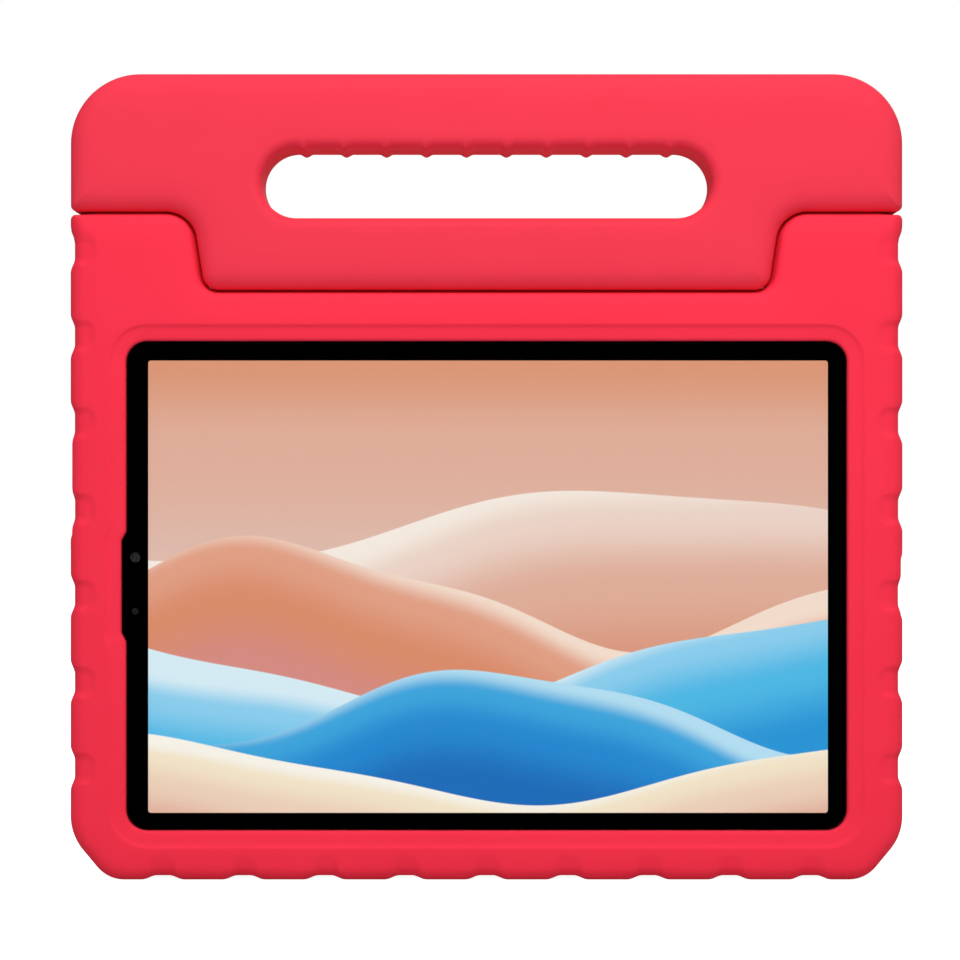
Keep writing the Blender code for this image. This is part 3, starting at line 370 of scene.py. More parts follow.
@dataclass(frozen=True)
class ClearGlass:
    """Aluminosilicate cover glass, polished: clear, with one clean reflection.

    Attributes:
        name: Name of the material.
        tint: Faint tint of the glass.
        ior: Refractive index.
        roughness: Roughness of the polished face.
    """

    name: str = "cover_glass_clear"
    tint: str = "#FDFEFE"
    ior: float = 1.5
    roughness: float = 0.0

    def make(self) -> Material:
        """Builds the material.

        Returns:
            The finished material.
        """
        made, tree = empty_material(self.name)
        shader = add_node(
            tree,
            "ShaderNodeBsdfPrincipled",
            {
                "Base Color": linear(self.tint),
                "Roughness": self.roughness,
                "IOR": self.ior,
                "Transmission Weight": 1.0,
            },
        )
        add_node(tree, "ShaderNodeOutputMaterial", {"Surface": shader.outputs[0]})
        return made


@dataclass(frozen=True)
class CoatedLens:
    """Lens glass with a dark violet anti-reflection coating.

    Attributes:
        name: Name of the material.
        deep: Colour seen straight on.
        rim: Colour towards the rim.
    """

    name: str = "coated_lens_glass"
    deep: str = "#07060C"
    rim: str = "#1B1430"

    def make(self) -> Material:
        """Builds the material.

        Returns:
            The finished material.
        """
        made, tree = empty_material(self.name)
        facing = add_node(tree, "ShaderNodeLayerWeight", {"Blend": 0.4}).outputs["Facing"]
        colour = add_node(
            tree,
            "ShaderNodeMix",
            {0: facing, 6: linear(self.deep), 7: linear(self.rim)},
            data_type="RGBA",
        ).outputs[2]
        shader = add_node(
            tree,
            "ShaderNodeBsdfPrincipled",
            {"Base Color": colour, "Roughness": 0.04, "IOR": 1.6, "Coat Weight": 1.0},
        )
        add_node(tree, "ShaderNodeOutputMaterial", {"Surface": shader.outputs[0]})
        return made


CREAM_PINK = ("#FDF1E6", "#F3D9CC", "#E7B39E", "#E29B80")
PEACH = ("#FBE3D2", "#E9A489", "#E2906D", "#DC8F86")
LIGHT_BLUE = ("#DDF3FC", "#8FD3F4", "#50BDEB", "#2999DC")
DEEP_BLUE = ("#B9E4F8", "#3FA9E2", "#248CD6", "#1C6FBF")
CREAM = ("#FFFAEF", "#FAEACD", "#F4D5BE", "#E7B39E")


@dataclass(frozen=True)
class Dune:
    """One rolling band of colour in the screen's picture.

    Attributes:
        height: Height of its crest over the display's lower edge.
        swing: Height of its long wave.
        wave: Length of the long wave.
        shift: Start of the long wave, in radians.
        ripple: Height of its short wave.
        colours: Colours from the crest down.
        reach: Depth below the crest at which the last colour is reached.
        tilt: How much of the reach the colours shift over the display's width.
    """

    height: float
    swing: float
    wave: float
    shift: float
    ripple: float
    colours: tuple[str, ...]
    reach: float
    tilt: float = 0.0


@dataclass(frozen=True)
class ScreenPicture:
    """A lit display that shows soft rolling bands in peach, cream and blue.

    Attributes:
        name: Name of the material.
        sky: Colours of the background, from the top down.
        dunes: Bands from the farthest to the nearest.
        edge: Width over which one band gives way to the next.
        brightness: Strength of the display's light.
        unlit: Colour of the panel itself.
    """

    name: str = "lit_display"
    sky: tuple[str, ...] = ("#E29A78", "#E7B39E", "#E6C4B8", "#DCCFD2")
    dunes: tuple[Dune, ...] = (
        Dune(96 * MM, 13 * MM, 330 * MM, 0.6, 2.0 * MM, CREAM_PINK, 62 * MM, 0.30),
        Dune(74 * MM, 17 * MM, 250 * MM, 3.4, 3.0 * MM, PEACH, 48 * MM, -0.25),
        Dune(52 * MM, 15 * MM, 290 * MM, 5.2, 2.5 * MM, LIGHT_BLUE, 44 * MM, 0.35),
        Dune(34 * MM, 14 * MM, 235 * MM, 1.5, 2.0 * MM, DEEP_BLUE, 36 * MM, -0.30),
        Dune(15 * MM, 11 * MM, 270 * MM, 4.4, 1.5 * MM, CREAM, 26 * MM, 0.20),
    )
    edge: float = 0.30 * MM
    brightness: float = 1.0
    unlit: str = "#050505"

    def ramp(self, tree: Tree, share: Socket, colours: Sequence[str]) -> Socket:
        """Adds a colour ramp.

        Args:
            tree: Node tree of the material.
            share: Socket with the place on the ramp.
            colours: Colours from 0 to 1, with the second near the start.

        Returns:
            The ramp's colour socket.
        """
        node = add_node(tree, "ShaderNodeValToRGB", {0: share})
        node.color_ramp.interpolation = "EASE"
        stops = node.color_ramp.elements
        while len(stops) < len(colours):
            stops.new(1.0)
        for number, (stop, colour) in enumerate(zip(stops, colours)):
            stop.position = (number / (len(colours) - 1)) ** RAMP_POWER
            stop.color = linear(colour)
        return node.outputs[0]

    def crest(self, tree: Tree, across: Socket, dune: Dune) -> Socket:
        """Adds the wavy crest line of one band.

        Args:
            tree: Node tree of the material.
            across: Socket with x.
            dune: The band.

        Returns:
            Socket with the crest's height.
        """
        level: float | Socket = DISPLAY_LOW.z + dune.height
        for size, wave, shift in (
            (dune.swing, dune.wave, dune.shift),
            (dune.ripple, dune.wave / RIPPLES_PER_WAVE, RIPPLE_SHIFT * dune.shift),
        ):
            turn = add_node(
                tree,
                "ShaderNodeMath",
                {0: across, 1: 2 * math.pi / wave, 2: shift},
                operation="MULTIPLY_ADD",
            ).outputs[0]
            sine = add_node(tree, "ShaderNodeMath", {0: turn}, operation="SINE").outputs[0]
            level = add_node(
                tree, "ShaderNodeMath", {0: sine, 1: size, 2: level}, operation="MULTIPLY_ADD"
            ).outputs[0]
        return level

    def make(self) -> Material:
        """Builds the material.

        Returns:
            The finished material.
        """
        made, tree = empty_material(self.name)
        place = add_node(tree, "ShaderNodeTexCoord").outputs["Object"]
        parts = add_node(tree, "ShaderNodeSeparateXYZ", {0: place})
        across, up = parts.outputs["X"], parts.outputs["Z"]
        share = add_node(
            tree, "ShaderNodeMapRange", {0: up, 1: DISPLAY_HIGH.z, 2: DISPLAY_LOW.z}
        ).outputs[0]
        colour = self.ramp(tree, share, self.sky)
        for dune in self.dunes:
            below = add_node(
                tree, "ShaderNodeMath", {0: self.crest(tree, across, dune), 1: up}, operation="SUBTRACT"
            ).outputs[0]
            mask = add_node(
                tree, "ShaderNodeMapRange", {0: below, 1: -self.edge / 2, 2: self.edge / 2}
            ).outputs[0]
            lean = dune.tilt * dune.reach / (DISPLAY_HIGH.x - DISPLAY_LOW.x)
            leaned = add_node(
                tree, "ShaderNodeMath", {0: across, 1: lean, 2: below}, operation="MULTIPLY_ADD"
            ).outputs[0]
            deeper = add_node(tree, "ShaderNodeMapRange", {0: leaned, 1: 0.0, 2: dune.reach}).outputs[0]
            colour = add_node(
                tree,
                "ShaderNodeMix",
                {0: mask, 6: colour, 7: self.ramp(tree, deeper, dune.colours)},
                data_type="RGBA",
            ).outputs[2]
        shader = add_node(
            tree,
            "ShaderNodeBsdfPrincipled",
            {
                "Base Color": linear(self.unlit),
                "Roughness": 0.4,
                "Emission Color": colour,
                "Emission Strength": self.brightness,
            },
        )
        add_node(tree, "ShaderNodeOutputMaterial", {"Surface": shader.outputs[0]})
        return made


def eased(share: np.ndarray) -> np.ndarray:
    """Clips a share to 0 to 1, with a soft start and a soft end."""
    share = np.clip(share, 0.0, 1.0)
    return share * share * (3 - 2 * share)


def unit(x: float, z: float) -> Point:
    """Direction of a vector in the XZ plane, with length 1."""
    length = math.hypot(x, z)
    return x / length, z / length


def offset_corner(before: Point, corner: Point, after: Point, insets: Point) -> Point:
    """Moves a corner of an anticlockwise outline as its two sides move inwards.

    Args:
        before: The corner before it.
        corner: The corner.
        after: The corner after it.
        insets: How far the side before and the side after move.

    Returns:
        The new place of the corner.
    """
    first = unit(corner[0] - before[0], corner[1] - before[1])
    second = unit(after[0] - corner[0], after[1] - corner[1])
    turn = first[0] * second[1] - first[1] * second[0]
    straight = first[0] * second[0] + first[1] * second[1]
    ahead = (insets[0] * straight - insets[1]) / turn
    return (
        corner[0] - first[1] * insets[0] + first[0] * ahead,
        corner[1] + first[0] * insets[0] + first[1] * ahead,
    )


def rounded_corner(before: Point, corner: Point, after: Point, radius: float, steps: int) -> list[Point]:
    """Points along the arc that rounds one corner.

    Args:
        before: The corner before it.
        corner: The corner.
        after: The corner after it.
        radius: Radius of the arc.
        steps: Number of steps along the arc.

    Returns:
        The arc's points, from the side before to the side after.
    """
    back = unit(before[0] - corner[0], before[1] - corner[1])
    ahead = unit(after[0] - corner[0], after[1] - corner[1])
    angle = math.acos(max(-1.0, min(1.0, back[0] * ahead[0] + back[1] * ahead[1])))
    middle = unit(back[0] + ahead[0], back[1] + ahead[1])
    reach, tangent = radius / math.sin(angle / 2), radius / math.tan(angle / 2)
    centre = corner[0] + middle[0] * reach, corner[1] + middle[1] * reach
    start = corner[0] + back[0] * tangent - centre[0], corner[1] + back[1] * tangent - centre[1]
    turn = math.pi - angle
    if start[1] * back[0] - start[0] * back[1] < 0:
        turn = -turn
    points = []
    for step in range(steps + 1):
        cosine, sine = math.cos(turn * step / steps), math.sin(turn * step / steps)
        points.append(
            (
                centre[0] + start[0] * cosine - start[1] * sine,
                centre[1] + start[0] * sine + start[1] * cosine,
            )
        )
    return points


def between(start: Point, end: Point, count: int) -> list[Point]:
    """Evenly spaced points strictly between two points."""
    shares = [step / (count + 1) for step in range(1, count + 1)]
    return [(start[0] + (end[0] - start[0]) * s, start[1] + (end[1] - start[1]) * s) for s in shares]


def outline(
    corners: Sequence[Corner],
    insets: Sequence[float] | float = 0.0,
    stops: dict[int, list[float]] | None = None,
    like: Sequence[Corner] | None = None,
) -> np.ndarray:
    """Closed anticlockwise outline with round corners, moved inwards.

    Args:
        corners: Corners of the outline before it moves.
        insets: How far it moves, as one number or one for the side after each corner.
        stops: For the side after a corner, the distances along it that get a point.
        like: Corners that set how many points there are, where the outline's own shape varies.

    Returns:
        The points as an array of x and z.
    """
    count = len(corners)
    inset = list(insets) if isinstance(insets, (list, tuple)) else [insets] * count
    model = like or corners
    plain = [(corner.x, corner.z) for corner in corners]
    moved = [
        offset_corner(plain[i - 1], plain[i], plain[(i + 1) % count], (inset[i - 1], inset[i]))
        for i in range(count)
    ]
    arcs = []
    for i, (x, z) in enumerate(plain):
        before, after = plain[i - 1], plain[(i + 1) % count]
        full = (x - before[0]) * (after[1] - z) - (z - before[1]) * (after[0] - x) > 0
        deepest = max(inset[i - 1], inset[i])
        radius = corners[i].radius - deepest if full else corners[i].radius + deepest
        steps = max(LEAST_ARC_STEPS, round(ARC_STEPS_PER_STEP * model[i].radius / STEP))
        reach = max(radius, LEAST_RADIUS)
        arcs.append(rounded_corner(moved[i - 1], moved[i], moved[(i + 1) % count], reach, steps))
    points: list[Point] = []
    for i, arc in enumerate(arcs):
        ahead = arcs[(i + 1) % count][0]
        points += arc
        fixed = (stops or {}).get(i)
        if fixed:
            x, z = plain[i]
            along = unit(plain[(i + 1) % count][0] - x, plain[(i + 1) % count][1] - z)
            run = [
                (x + along[0] * d - along[1] * inset[i], z + along[1] * d + along[0] * inset[i])
                for d in fixed
            ]
            points += between(arc[-1], run[0], LEAD_POINTS) + run + between(run[-1], ahead, LEAD_POINTS)
        else:
            after = model[(i + 1) % count]
            length = math.hypot(after.x - model[i].x, after.z - model[i].z)
            points += between(arc[-1], ahead, max(1, round(length / STEP) - 1))
    return np.array(points)


def rectangle(half_width: float, low: float, high: float, radius: float, middle: float = 0.0) -> list[Corner]:
    """Corners of a rounded rectangle, anticlockwise from its lower left."""
    left, right = middle - half_width, middle + half_width
    return [Corner(x, z, radius) for x, z in ((left, low), (right, low), (right, high), (left, high))]


def circle(radius: float, x: float, z: float) -> np.ndarray:
    """Points round a circle in the XZ plane, anticlockwise."""
    turns = np.linspace(0, 2 * math.pi, TURNED_SIDES, endpoint=False)
    return np.column_stack([x + radius * np.cos(turns), z + radius * np.sin(turns)])


def distance_to(points: np.ndarray, loop: np.ndarray) -> np.ndarray:
    """Distance of each point from a closed outline.

    Args:
        points: Points as an array of x and z.
        loop: The outline.

    Returns:
        One distance for each point.
    """
    runs = np.roll(loop, -1, axis=0) - loop
    squares = np.maximum((runs**2).sum(1), 1e-18)
    found = []
    for first in range(0, len(points), BATCH):
        reach = points[first : first + BATCH, None, :] - loop[None, :, :]
        share = np.clip((reach * runs).sum(2) / squares, 0.0, 1.0)
        apart = reach - share[..., None] * runs
        found.append(np.sqrt((apart**2).sum(2)).min(1))
    return np.concatenate(found)


def is_inside(points: np.ndarray, loop: np.ndarray) -> np.ndarray:
    """Whether each point is inside a closed outline.

    Args:
        points: Points as an array of x and z.
        loop: The outline.

    Returns:
        True or False for each point.
    """
    ends = np.roll(loop, -1, axis=0)
    rise = ends[:, 1] - loop[:, 1]
    slope = (ends[:, 0] - loop[:, 0]) / np.where(np.abs(rise) < 1e-12, 1e-12, rise)
    found = []
    for first in range(0, len(points), BATCH):
        x, z = points[first : first + BATCH, :1], points[first : first + BATCH, 1:]
        crosses = (loop[:, 1] > z) != (ends[:, 1] > z)
        found.append(((crosses & (x < loop[:, 0] + (z - loop[:, 1]) * slope)).sum(1) % 2) == 1)
    return np.concatenate(found)


def placed(name: str, data: bpy.types.ID) -> Object:
    """Makes an object from its data and puts it in the scene.

    Args:
        name: Name of the object.
        data: Its mesh, light or camera.

    Returns:
        The new object.
    """
    obj = bpy.data.objects.new(name, data)
    bpy.context.scene.collection.objects.link(obj)
    return obj


class Skin:
    """A closed skin put together from rows of points, bands between them and filled areas."""

    def __init__(self) -> None:
        """Starts with no faces."""
        self.bm = bmesh.new()

    def row(self, points: np.ndarray, depth: np.ndarray | float) -> Row:
        """Adds the vertices of one closed row.

        Args:
            points: The row's x and z.
            depth: Its y, as one number or one for each point.

        Returns:
            The new vertices.
        """
        depths = np.broadcast_to(depth, len(points))
        return [self.bm.verts.new((x, y, z)) for (x, z), y in zip(points, depths)]

    def band(self, rows: Sequence[Row]) -> None:
        """Joins each row to the next with a band of quads.

        Args:
            rows: Closed rows with the same number of vertices.
        """
        for first, second in zip(rows, rows[1:]):
            count = len(first)
            for i in range(count):
                j = (i + 1) % count
                self.bm.faces.new((first[i], first[j], second[j], second[i]))

    def fill(self, loops: Sequence[Row], spacing: float = 0.0, depth: DepthField | None = None) -> None:
        """Fills the area inside the first row and outside the others.

        Args:
            loops: Closed rows of vertices.
            spacing: Spacing of the even net in it, where it has one.
            depth: Gives y at each point of the net. Without it there is no net.
        """
        flats = [np.array([(v.co.x, v.co.z) for v in loop]) for loop in loops]
        verts = [v for loop in loops for v in loop]
        if depth:
            inner = self.net(flats, spacing)
            verts += self.row(inner, depth(inner))
        edges, start = [], 0
        for loop in loops:
            count = len(loop)
            edges += [(start + i, start + (i + 1) % count) for i in range(count)]
            start += count
        flat = [Vector((v.co.x, v.co.z)) for v in verts]
        points, _, faces, origins, _, _ = delaunay_2d_cdt(flat, edges, [], INSIDE_EDGES, 1e-9)
        if len(points) != len(flat):
            raise ValueError("the rows of a filled area cross or touch each other")
        places, corners = np.array([tuple(point) for point in points]), np.array(faces)
        middles = places[corners].mean(1)
        kept = np.ones(len(corners), dtype=bool)
        for hole in flats[1:]:
            kept &= ~is_inside(middles, hole)
        for face in corners[kept]:
            self.bm.faces.new([verts[origins[i][0]] for i in face])

    @staticmethod
    def net(flats: Sequence[np.ndarray], spacing: float) -> np.ndarray:
        """Points of an even net inside the first outline and outside the others.

        Args:
            flats: The outlines.
            spacing: Spacing of the net.

        Returns:
            The points as an array of x and z.
        """
        low, high = flats[0].min(0), flats[0].max(0)
        heights = np.arange(low[1], high[1], spacing * math.sqrt(0.75))
        places = np.arange(low[0], high[0], spacing)
        grid = np.array([(x + spacing / 2 * (i % 2), z) for i, z in enumerate(heights) for x in places])
        grid = grid[is_inside(grid, flats[0])]
        for hole in flats[1:]:
            grid = grid[~is_inside(grid, hole)]
        for loop in flats:
            grid = grid[distance_to(grid, loop) > CLEAR_OF_EDGE * spacing]
        return grid

    def soften(self, rows: Sequence[Row], height: float, reach: float) -> None:
        """Evens out the mitred rows near the two outer corners at one height.

        Args:
            rows: Rows of the skin.
            height: Height of the corners.
            reach: How far from a corner the rows are evened out.
        """
        near = [v for row in rows for v in row]
        near = [v for v in near if math.hypot(abs(v.co.x) - HALF_WIDTH, v.co.z - height) < reach]
        for _ in range(SOFTEN_ROUNDS):
            bmesh.ops.smooth_vert(
                self.bm, verts=near, factor=0.5, use_axis_x=True, use_axis_y=True, use_axis_z=True
            )

    def to_object(self, name: str) -> Object:
        """Turns the skin into an object with its faces pointing out.

        Args:
            name: Name of the object.

        Returns:
            The new object.
        """
        bmesh.ops.recalc_face_normals(self.bm, faces=self.bm.faces)
        mesh = bpy.data.meshes.new(name)
        self.bm.to_mesh(mesh)
        self.bm.free()
        return shade(placed(name, mesh))


def shade(obj: Object) -> Object:
    """Shades an object smooth, with true edges kept sharp.

    Args:
        obj: The object.

    Returns:
        The same object.
    """
    obj.data.shade_smooth()
    obj.data.set_sharp_from_angle(angle=SHARP_ANGLE)
    return obj


def carve(obj: Object, cutters: Sequence[Object]) -> None:
    """Takes cutters out of an object and removes them.

    Args:
        obj: The object to cut.
        cutters: Closed objects.
    """
    for cutter in cutters:
        modifier = obj.modifiers.new(cutter.name, "BOOLEAN")
        modifier.operation = "DIFFERENCE"
        modifier.solver = "MANIFOLD"
        modifier.object = cutter
    graph = bpy.context.evaluated_depsgraph_get()
    mesh = bpy.data.meshes.new_from_object(obj.evaluated_get(graph))
    obj.modifiers.clear()
    obj.data = mesh
    for cutter in cutters:
        bpy.data.objects.remove(cutter)
    shade(obj)


def turned(name: str, profile: Sequence[Point], axis: Vector, place: Vector) -> Object:
    """Turns a profile about an axis.

    Args:
        name: Name of the object.
        profile: Points of radius and length. One that starts and ends off the axis is closed to a ring.
        axis: Direction of the axis.
        place: Where the axis starts.

    Returns:
        The new object.
    """
    skin = Skin()
    new_vertex = skin.bm.verts.new
    rows = []
    for radius, length in profile:
        if radius == 0:
            rows.append([new_vertex((0, 0, length))])
            continue
        turns = [2 * math.pi * side / TURNED_SIDES for side in range(TURNED_SIDES)]
        rows.append([new_vertex((radius * math.cos(t), radius * math.sin(t), length)) for t in turns])
    if profile[0][0] > 0:
        rows.append(rows[0])
    for first, second in zip(rows, rows[1:]):
        for i in range(TURNED_SIDES):
            j = (i + 1) % TURNED_SIDES
            corners = {first[i % len(first)]: 0, first[j % len(first)]: 0}
            corners.update({second[j % len(second)]: 0, second[i % len(second)]: 0})
            skin.bm.faces.new(list(corners))
    obj = skin.to_object(name)
    turn = Vector((0, 0, 1)).rotation_difference(axis).to_matrix().to_4x4()
    obj.data.transform(Matrix.Translation(place) @ turn)
    return obj


def hinge_bore(name: str, side: Side, start: float, end: float) -> Object:
    """Makes the cutter of a blind bore on the hinge's axis.

    Args:
        name: What the bore is for.
        side: Which side of the case.
        start: Distance of its inner end from the middle of the case.
        end: Distance of its outer end.

    Returns:
        The cutter.
    """
    profile = [(0, start), (BORE_RADIUS, start), (BORE_RADIUS, end), (0, end)]
    axis, place = Vector((side.value, 0, 0)), Vector((0, HINGE_Y, HINGE_Z))
    return turned(f"{name}_{side.name.lower()}", profile, axis, place)


@dataclass
class SplitLine:
    """The line on which the handle and the frame part, with the tongue that hangs between the shoulders."""

    gap: float = 1.0 * MM
    shoulder_height: float = 224.3 * MM
    tongue_height: float = 26.4 * MM
    tongue_top_width: float = 198.8 * MM
    tongue_bottom_width: float = 190.7 * MM
    shoulder_round: float = 10.0 * MM
    tongue_round: float = 6.0 * MM
    edge_round: float = 2.0 * MM
    cheek_width: float = 190.0 * MM
    cheek_round: float = 1.5 * MM

    def floor(self) -> float:
        """Height of the line under the tongue."""
        return self.shoulder_height - self.tongue_height

    def corners(self, offset: float, cheek: float = 0.0) -> list[Corner]:
        """The handle's lower outline, left to right.

        Args:
            offset: How far it moves up; the frame's own edge is moved down.
            cheek: 0 for the slanted outline in front, 1 for the narrow cheeks on the hinge.

        Returns:
            Four corners.
        """
        slope = (self.tongue_top_width - self.tongue_bottom_width) / 2 / self.tongue_height
        aside = offset * math.hypot(1, slope) - offset * slope
        wide, narrow = self.tongue_top_width / 2 - aside, self.tongue_bottom_width / 2 - aside
        half_cheek = self.cheek_width / 2
        top_half = wide + (half_cheek - wide) * cheek
        low_half = narrow + (half_cheek - narrow) * cheek
        inner_round = self.shoulder_round + offset
        top_round = inner_round + (self.cheek_round - inner_round) * cheek
        low_round = self.tongue_round - offset
        top, low = self.shoulder_height + offset, self.floor() + offset
        return [
            Corner(-top_half, top, top_round),
            Corner(-low_half, low, low_round),
            Corner(low_half, low, low_round),
            Corner(top_half, top, top_round),
        ]


@dataclass
class GripRecesses:
    """The row of shallow recesses pressed round the edge of the frame for small fingers."""

    side_length: float = 10.8 * MM
    floor_length: float = 9.8 * MM
    depth: float = 1.45 * MM
    reach: float = 9.4 * MM
    corner: float = 4.4 * MM
    ramp: float = 2.8 * MM
    spread: float = 2.2 * MM
    wall_zone: float = 3.2 * MM
    crispness: float = 1.2
    side_fade: float = 0.75
    floor_fade: float = 0.97
    fade_power: float = 0.7
    side_count: int = 7
    side_pitch: float = 29.0 * MM
    side_lowest: float = 37.6 * MM
    floor_count: int = 9
    floor_pitch: float = 27.2 * MM

    def side_middles(self) -> np.ndarray:
        """Heights of the recesses on the sides."""
        return self.side_lowest + self.side_pitch * np.arange(self.side_count)

    def floor_middles(self) -> np.ndarray:
        """Places across of the recesses along the underside."""
        return self.floor_pitch * (np.arange(self.floor_count) - (self.floor_count - 1) / 2)

    def stops(self, low: float, high: float, middles: np.ndarray, length: float) -> list[float]:
        """Places along a run, close together over the slopes of each recess.

        Args:
            low: Start of the run.
            high: End of the run.
            middles: Middles of its recesses.
            length: Length of each recess.

        Returns:
            The places, from low to high.
        """
        places, at = [], low
        while at < high:
            places.append(at)
            distance = float(np.abs(middles - at).min())
            slope_end = length / 2 + self.spread + STEP
            on_slope = length / 2 - self.ramp - STEP < distance < slope_end
            at += FINE_STEP if on_slope else STEP
        return places

    def sink(
        self, along: np.ndarray, across: np.ndarray, middles: np.ndarray, length: float, fade: float
    ) -> np.ndarray:
        """How deep the foam is pressed in.

        Args:
            along: Place of each point along the run.
            across: Its distance in from the wall.
            middles: Middles of the run's recesses.
            length: Length of each recess.
            fade: Share of the depth that is gone at the inner end.

        Returns:
            One depth for each point.
        """
        distance = np.abs(along[:, None] - middles[None, :]).min(1)
        beside = distance - (length / 2 - self.corner)
        beyond = across - (self.reach - self.corner)
        outside = np.hypot(np.maximum(beside, 0), np.maximum(beyond, 0))
        outside += np.minimum(np.maximum(beside, beyond), 0) - self.corner
        crisp = np.clip(-outside / self.ramp, 0.0, 1.0)
        crisp = crisp**self.crispness * (2 - crisp**self.crispness)
        soft = eased((length / 2 + self.spread - distance) / (self.spread + self.ramp))
        near_wall = np.clip(1 - across / self.wall_zone, 0.0, 1.0)
        share = crisp + (soft - crisp) * near_wall
        faded = fade * np.clip(across / self.reach, 0.0, 1.0) ** self.fade_power
        return self.depth * share * (1 - faded)


@dataclass(frozen=True)
class BandRow:
    """One row of points round the frame's outer band.

    Attributes:
        face: Face that the row belongs to.
        inset: Distance in from the wall.
        split_inset: The same along the split line.
        fall: Depth behind the face.
        split_fall: The same along the split line.
        lean: 1 where a recess sinks into the face, 0 where it sinks into the wall.
    """

    face: Face
    inset: float
    split_inset: float
    fall: float
    split_fall: float
    lean: float


@dataclass
class FoamFrame:
    """The moulded foam frame that holds the tablet."""

    split: SplitLine
    recesses: GripRecesses = field(default_factory=GripRecesses)
    chamfer_width: float = 12.5 * MM
    chamfer_height: float = 15.0 * MM
    chamfer_side_round: float = 18.0 * MM
    chamfer_floor_round: float = 12.0 * MM
    front_roll: Roll = Roll(5.0 * MM, 3.6 * MM)
    split_roll: Roll = Roll(2.2 * MM, 1.7 * MM)
    split_ease: float = 0.35 * MM
    back_roll: Roll = Roll(5.0 * MM, 4.6 * MM)
    front_crown: Crown = Crown(1.2 * MM, 12.0 * MM)
    back_crown: Crown = Crown(0.4 * MM, 10.0 * MM)
    face_rows: int = 10
    face_row_step: float = 0.45 * MM
    split_row_step: float = 0.28 * MM
    wall_rows: int = 7
    lip_thickness: float = 4.0 * MM
    lip_overlap: float = 2.4 * MM
    lip_width: float = 5.3 * MM
    window_corner: float = 7.0 * MM
    window_lift: float = 0.7 * MM
    relief_height: float = 37.0 * MM
    relief_depth: float = 1.6 * MM
    relief_slant: float = 3.0 * MM
    back_panel: float = 5.9 * MM
    back_rim: float = 22.9 * MM
    back_rim_floor: float = 20.0 * MM
    back_rim_top: float = 20.0 * MM
    back_recess_corner: float = 14.0 * MM
    back_recess_roll: Roll = Roll(3.0 * MM, 3.0 * MM)
    recess_floor_fillet: Roll = Roll(1.5 * MM, 1.5 * MM)
    pocket_corner: float = 10.3 * MM
    camera_hole_radius: float = 10.0 * MM
    port_notch: float = 22.0 * MM
    key_notch: float = 38.0 * MM
    key_notch_above_middle: float = 35.0 * MM
    notch_corner: float = 4.0 * MM
    notch_bite: float = 1.2 * MM
    notch_roll: Roll = Roll(2.0 * MM, 2.0 * MM)
    soften_reach: float = 6.5 * MM
    swell: float = 1.2 * MM
    swell_middle: float = -5.2 * MM
    swell_reach: float = 4.0 * MM
    swell_fade: float = 9.0 * MM

    floor_run = 0
    right_run = 2
    left_run = 8
    split_runs = range(3, 8)

    def shoulder(self) -> float:
        """Height of the frame's shoulders."""
        return self.split.shoulder_height - self.split.gap / 2

    def corners(self) -> list[Corner]:
        """Outline of the frame, anticlockwise from the left end of its underside.

        Returns:
            Its corners.
        """
        floor_end, top = HALF_WIDTH - self.chamfer_width, self.shoulder()
        return [
            Corner(-floor_end, 0.0, self.chamfer_floor_round),
            Corner(floor_end, 0.0, self.chamfer_floor_round),
            Corner(HALF_WIDTH, self.chamfer_height, self.chamfer_side_round),
            Corner(HALF_WIDTH, top, self.split.edge_round),
            *reversed(self.split.corners(-self.split.gap / 2)),
            Corner(-HALF_WIDTH, top, self.split.edge_round),
            Corner(-HALF_WIDTH, self.chamfer_height, self.chamfer_side_round),
        ]

    def stops(self) -> dict[int, list[float]]:
        """Places along the sides and the underside that get a point.

        Returns:
            Distances along each run, by the run's number.
        """
        deepest = self.front_roll.reach + self.face_rows * self.face_row_step
        low, high = self.chamfer_height + self.chamfer_side_round / 2, self.shoulder() - deepest
        recesses = self.recesses
        sides = recesses.stops(low, high, recesses.side_middles(), recesses.side_length)
        floor_end = HALF_WIDTH - self.chamfer_width
        end = floor_end - self.chamfer_floor_round / 1.5
        floor = recesses.stops(-end, end, recesses.floor_middles(), recesses.floor_length)
        return {
            self.floor_run: [floor_end + x for x in floor],
            self.right_run: [z - self.chamfer_height for z in sides],
            self.left_run: [self.shoulder() - z for z in reversed(sides)],
        }

    def band_rows(self) -> list[BandRow]:
        """Rows of the outer band, from the front face over the wall to the back face.

        Returns:
            The rows in that order.
        """
        rows = []
        for step in range(self.face_rows, 0, -1):
            inset = self.front_roll.reach + step * self.face_row_step
            split_inset = self.split_ease + self.split_roll.reach + step * self.split_row_step
            rows.append(BandRow(Face.FRONT, inset, split_inset, 0.0, 0.0, 1.0))
        pairs = zip(self.front_roll.rows(), self.split_roll.rows())
        for (inset, fall, share), (split_inset, split_fall, _) in pairs:
            split_inset += self.split_ease
            rows.append(BandRow(Face.FRONT, inset, split_inset, fall, split_fall, 1 - share))
        for step in range(1, self.wall_rows + 1):
            share = step / (self.wall_rows + 1)
            rows.append(BandRow(Face.WALL, 0.0, self.split_ease * (1 - share), share, share, 0.0))
        for inset, fall, share in reversed(self.back_roll.rows()):
            rows.append(BandRow(Face.BACK, inset, inset, fall, fall, share - 1))
        for step in range(1, self.face_rows + 1, 2):
            inset = self.back_roll.reach + step * self.face_row_step
            split_inset = self.back_roll.reach + step * self.split_row_step
            rows.append(BandRow(Face.BACK, inset, split_inset, 0.0, 0.0, -1.0))
        return rows

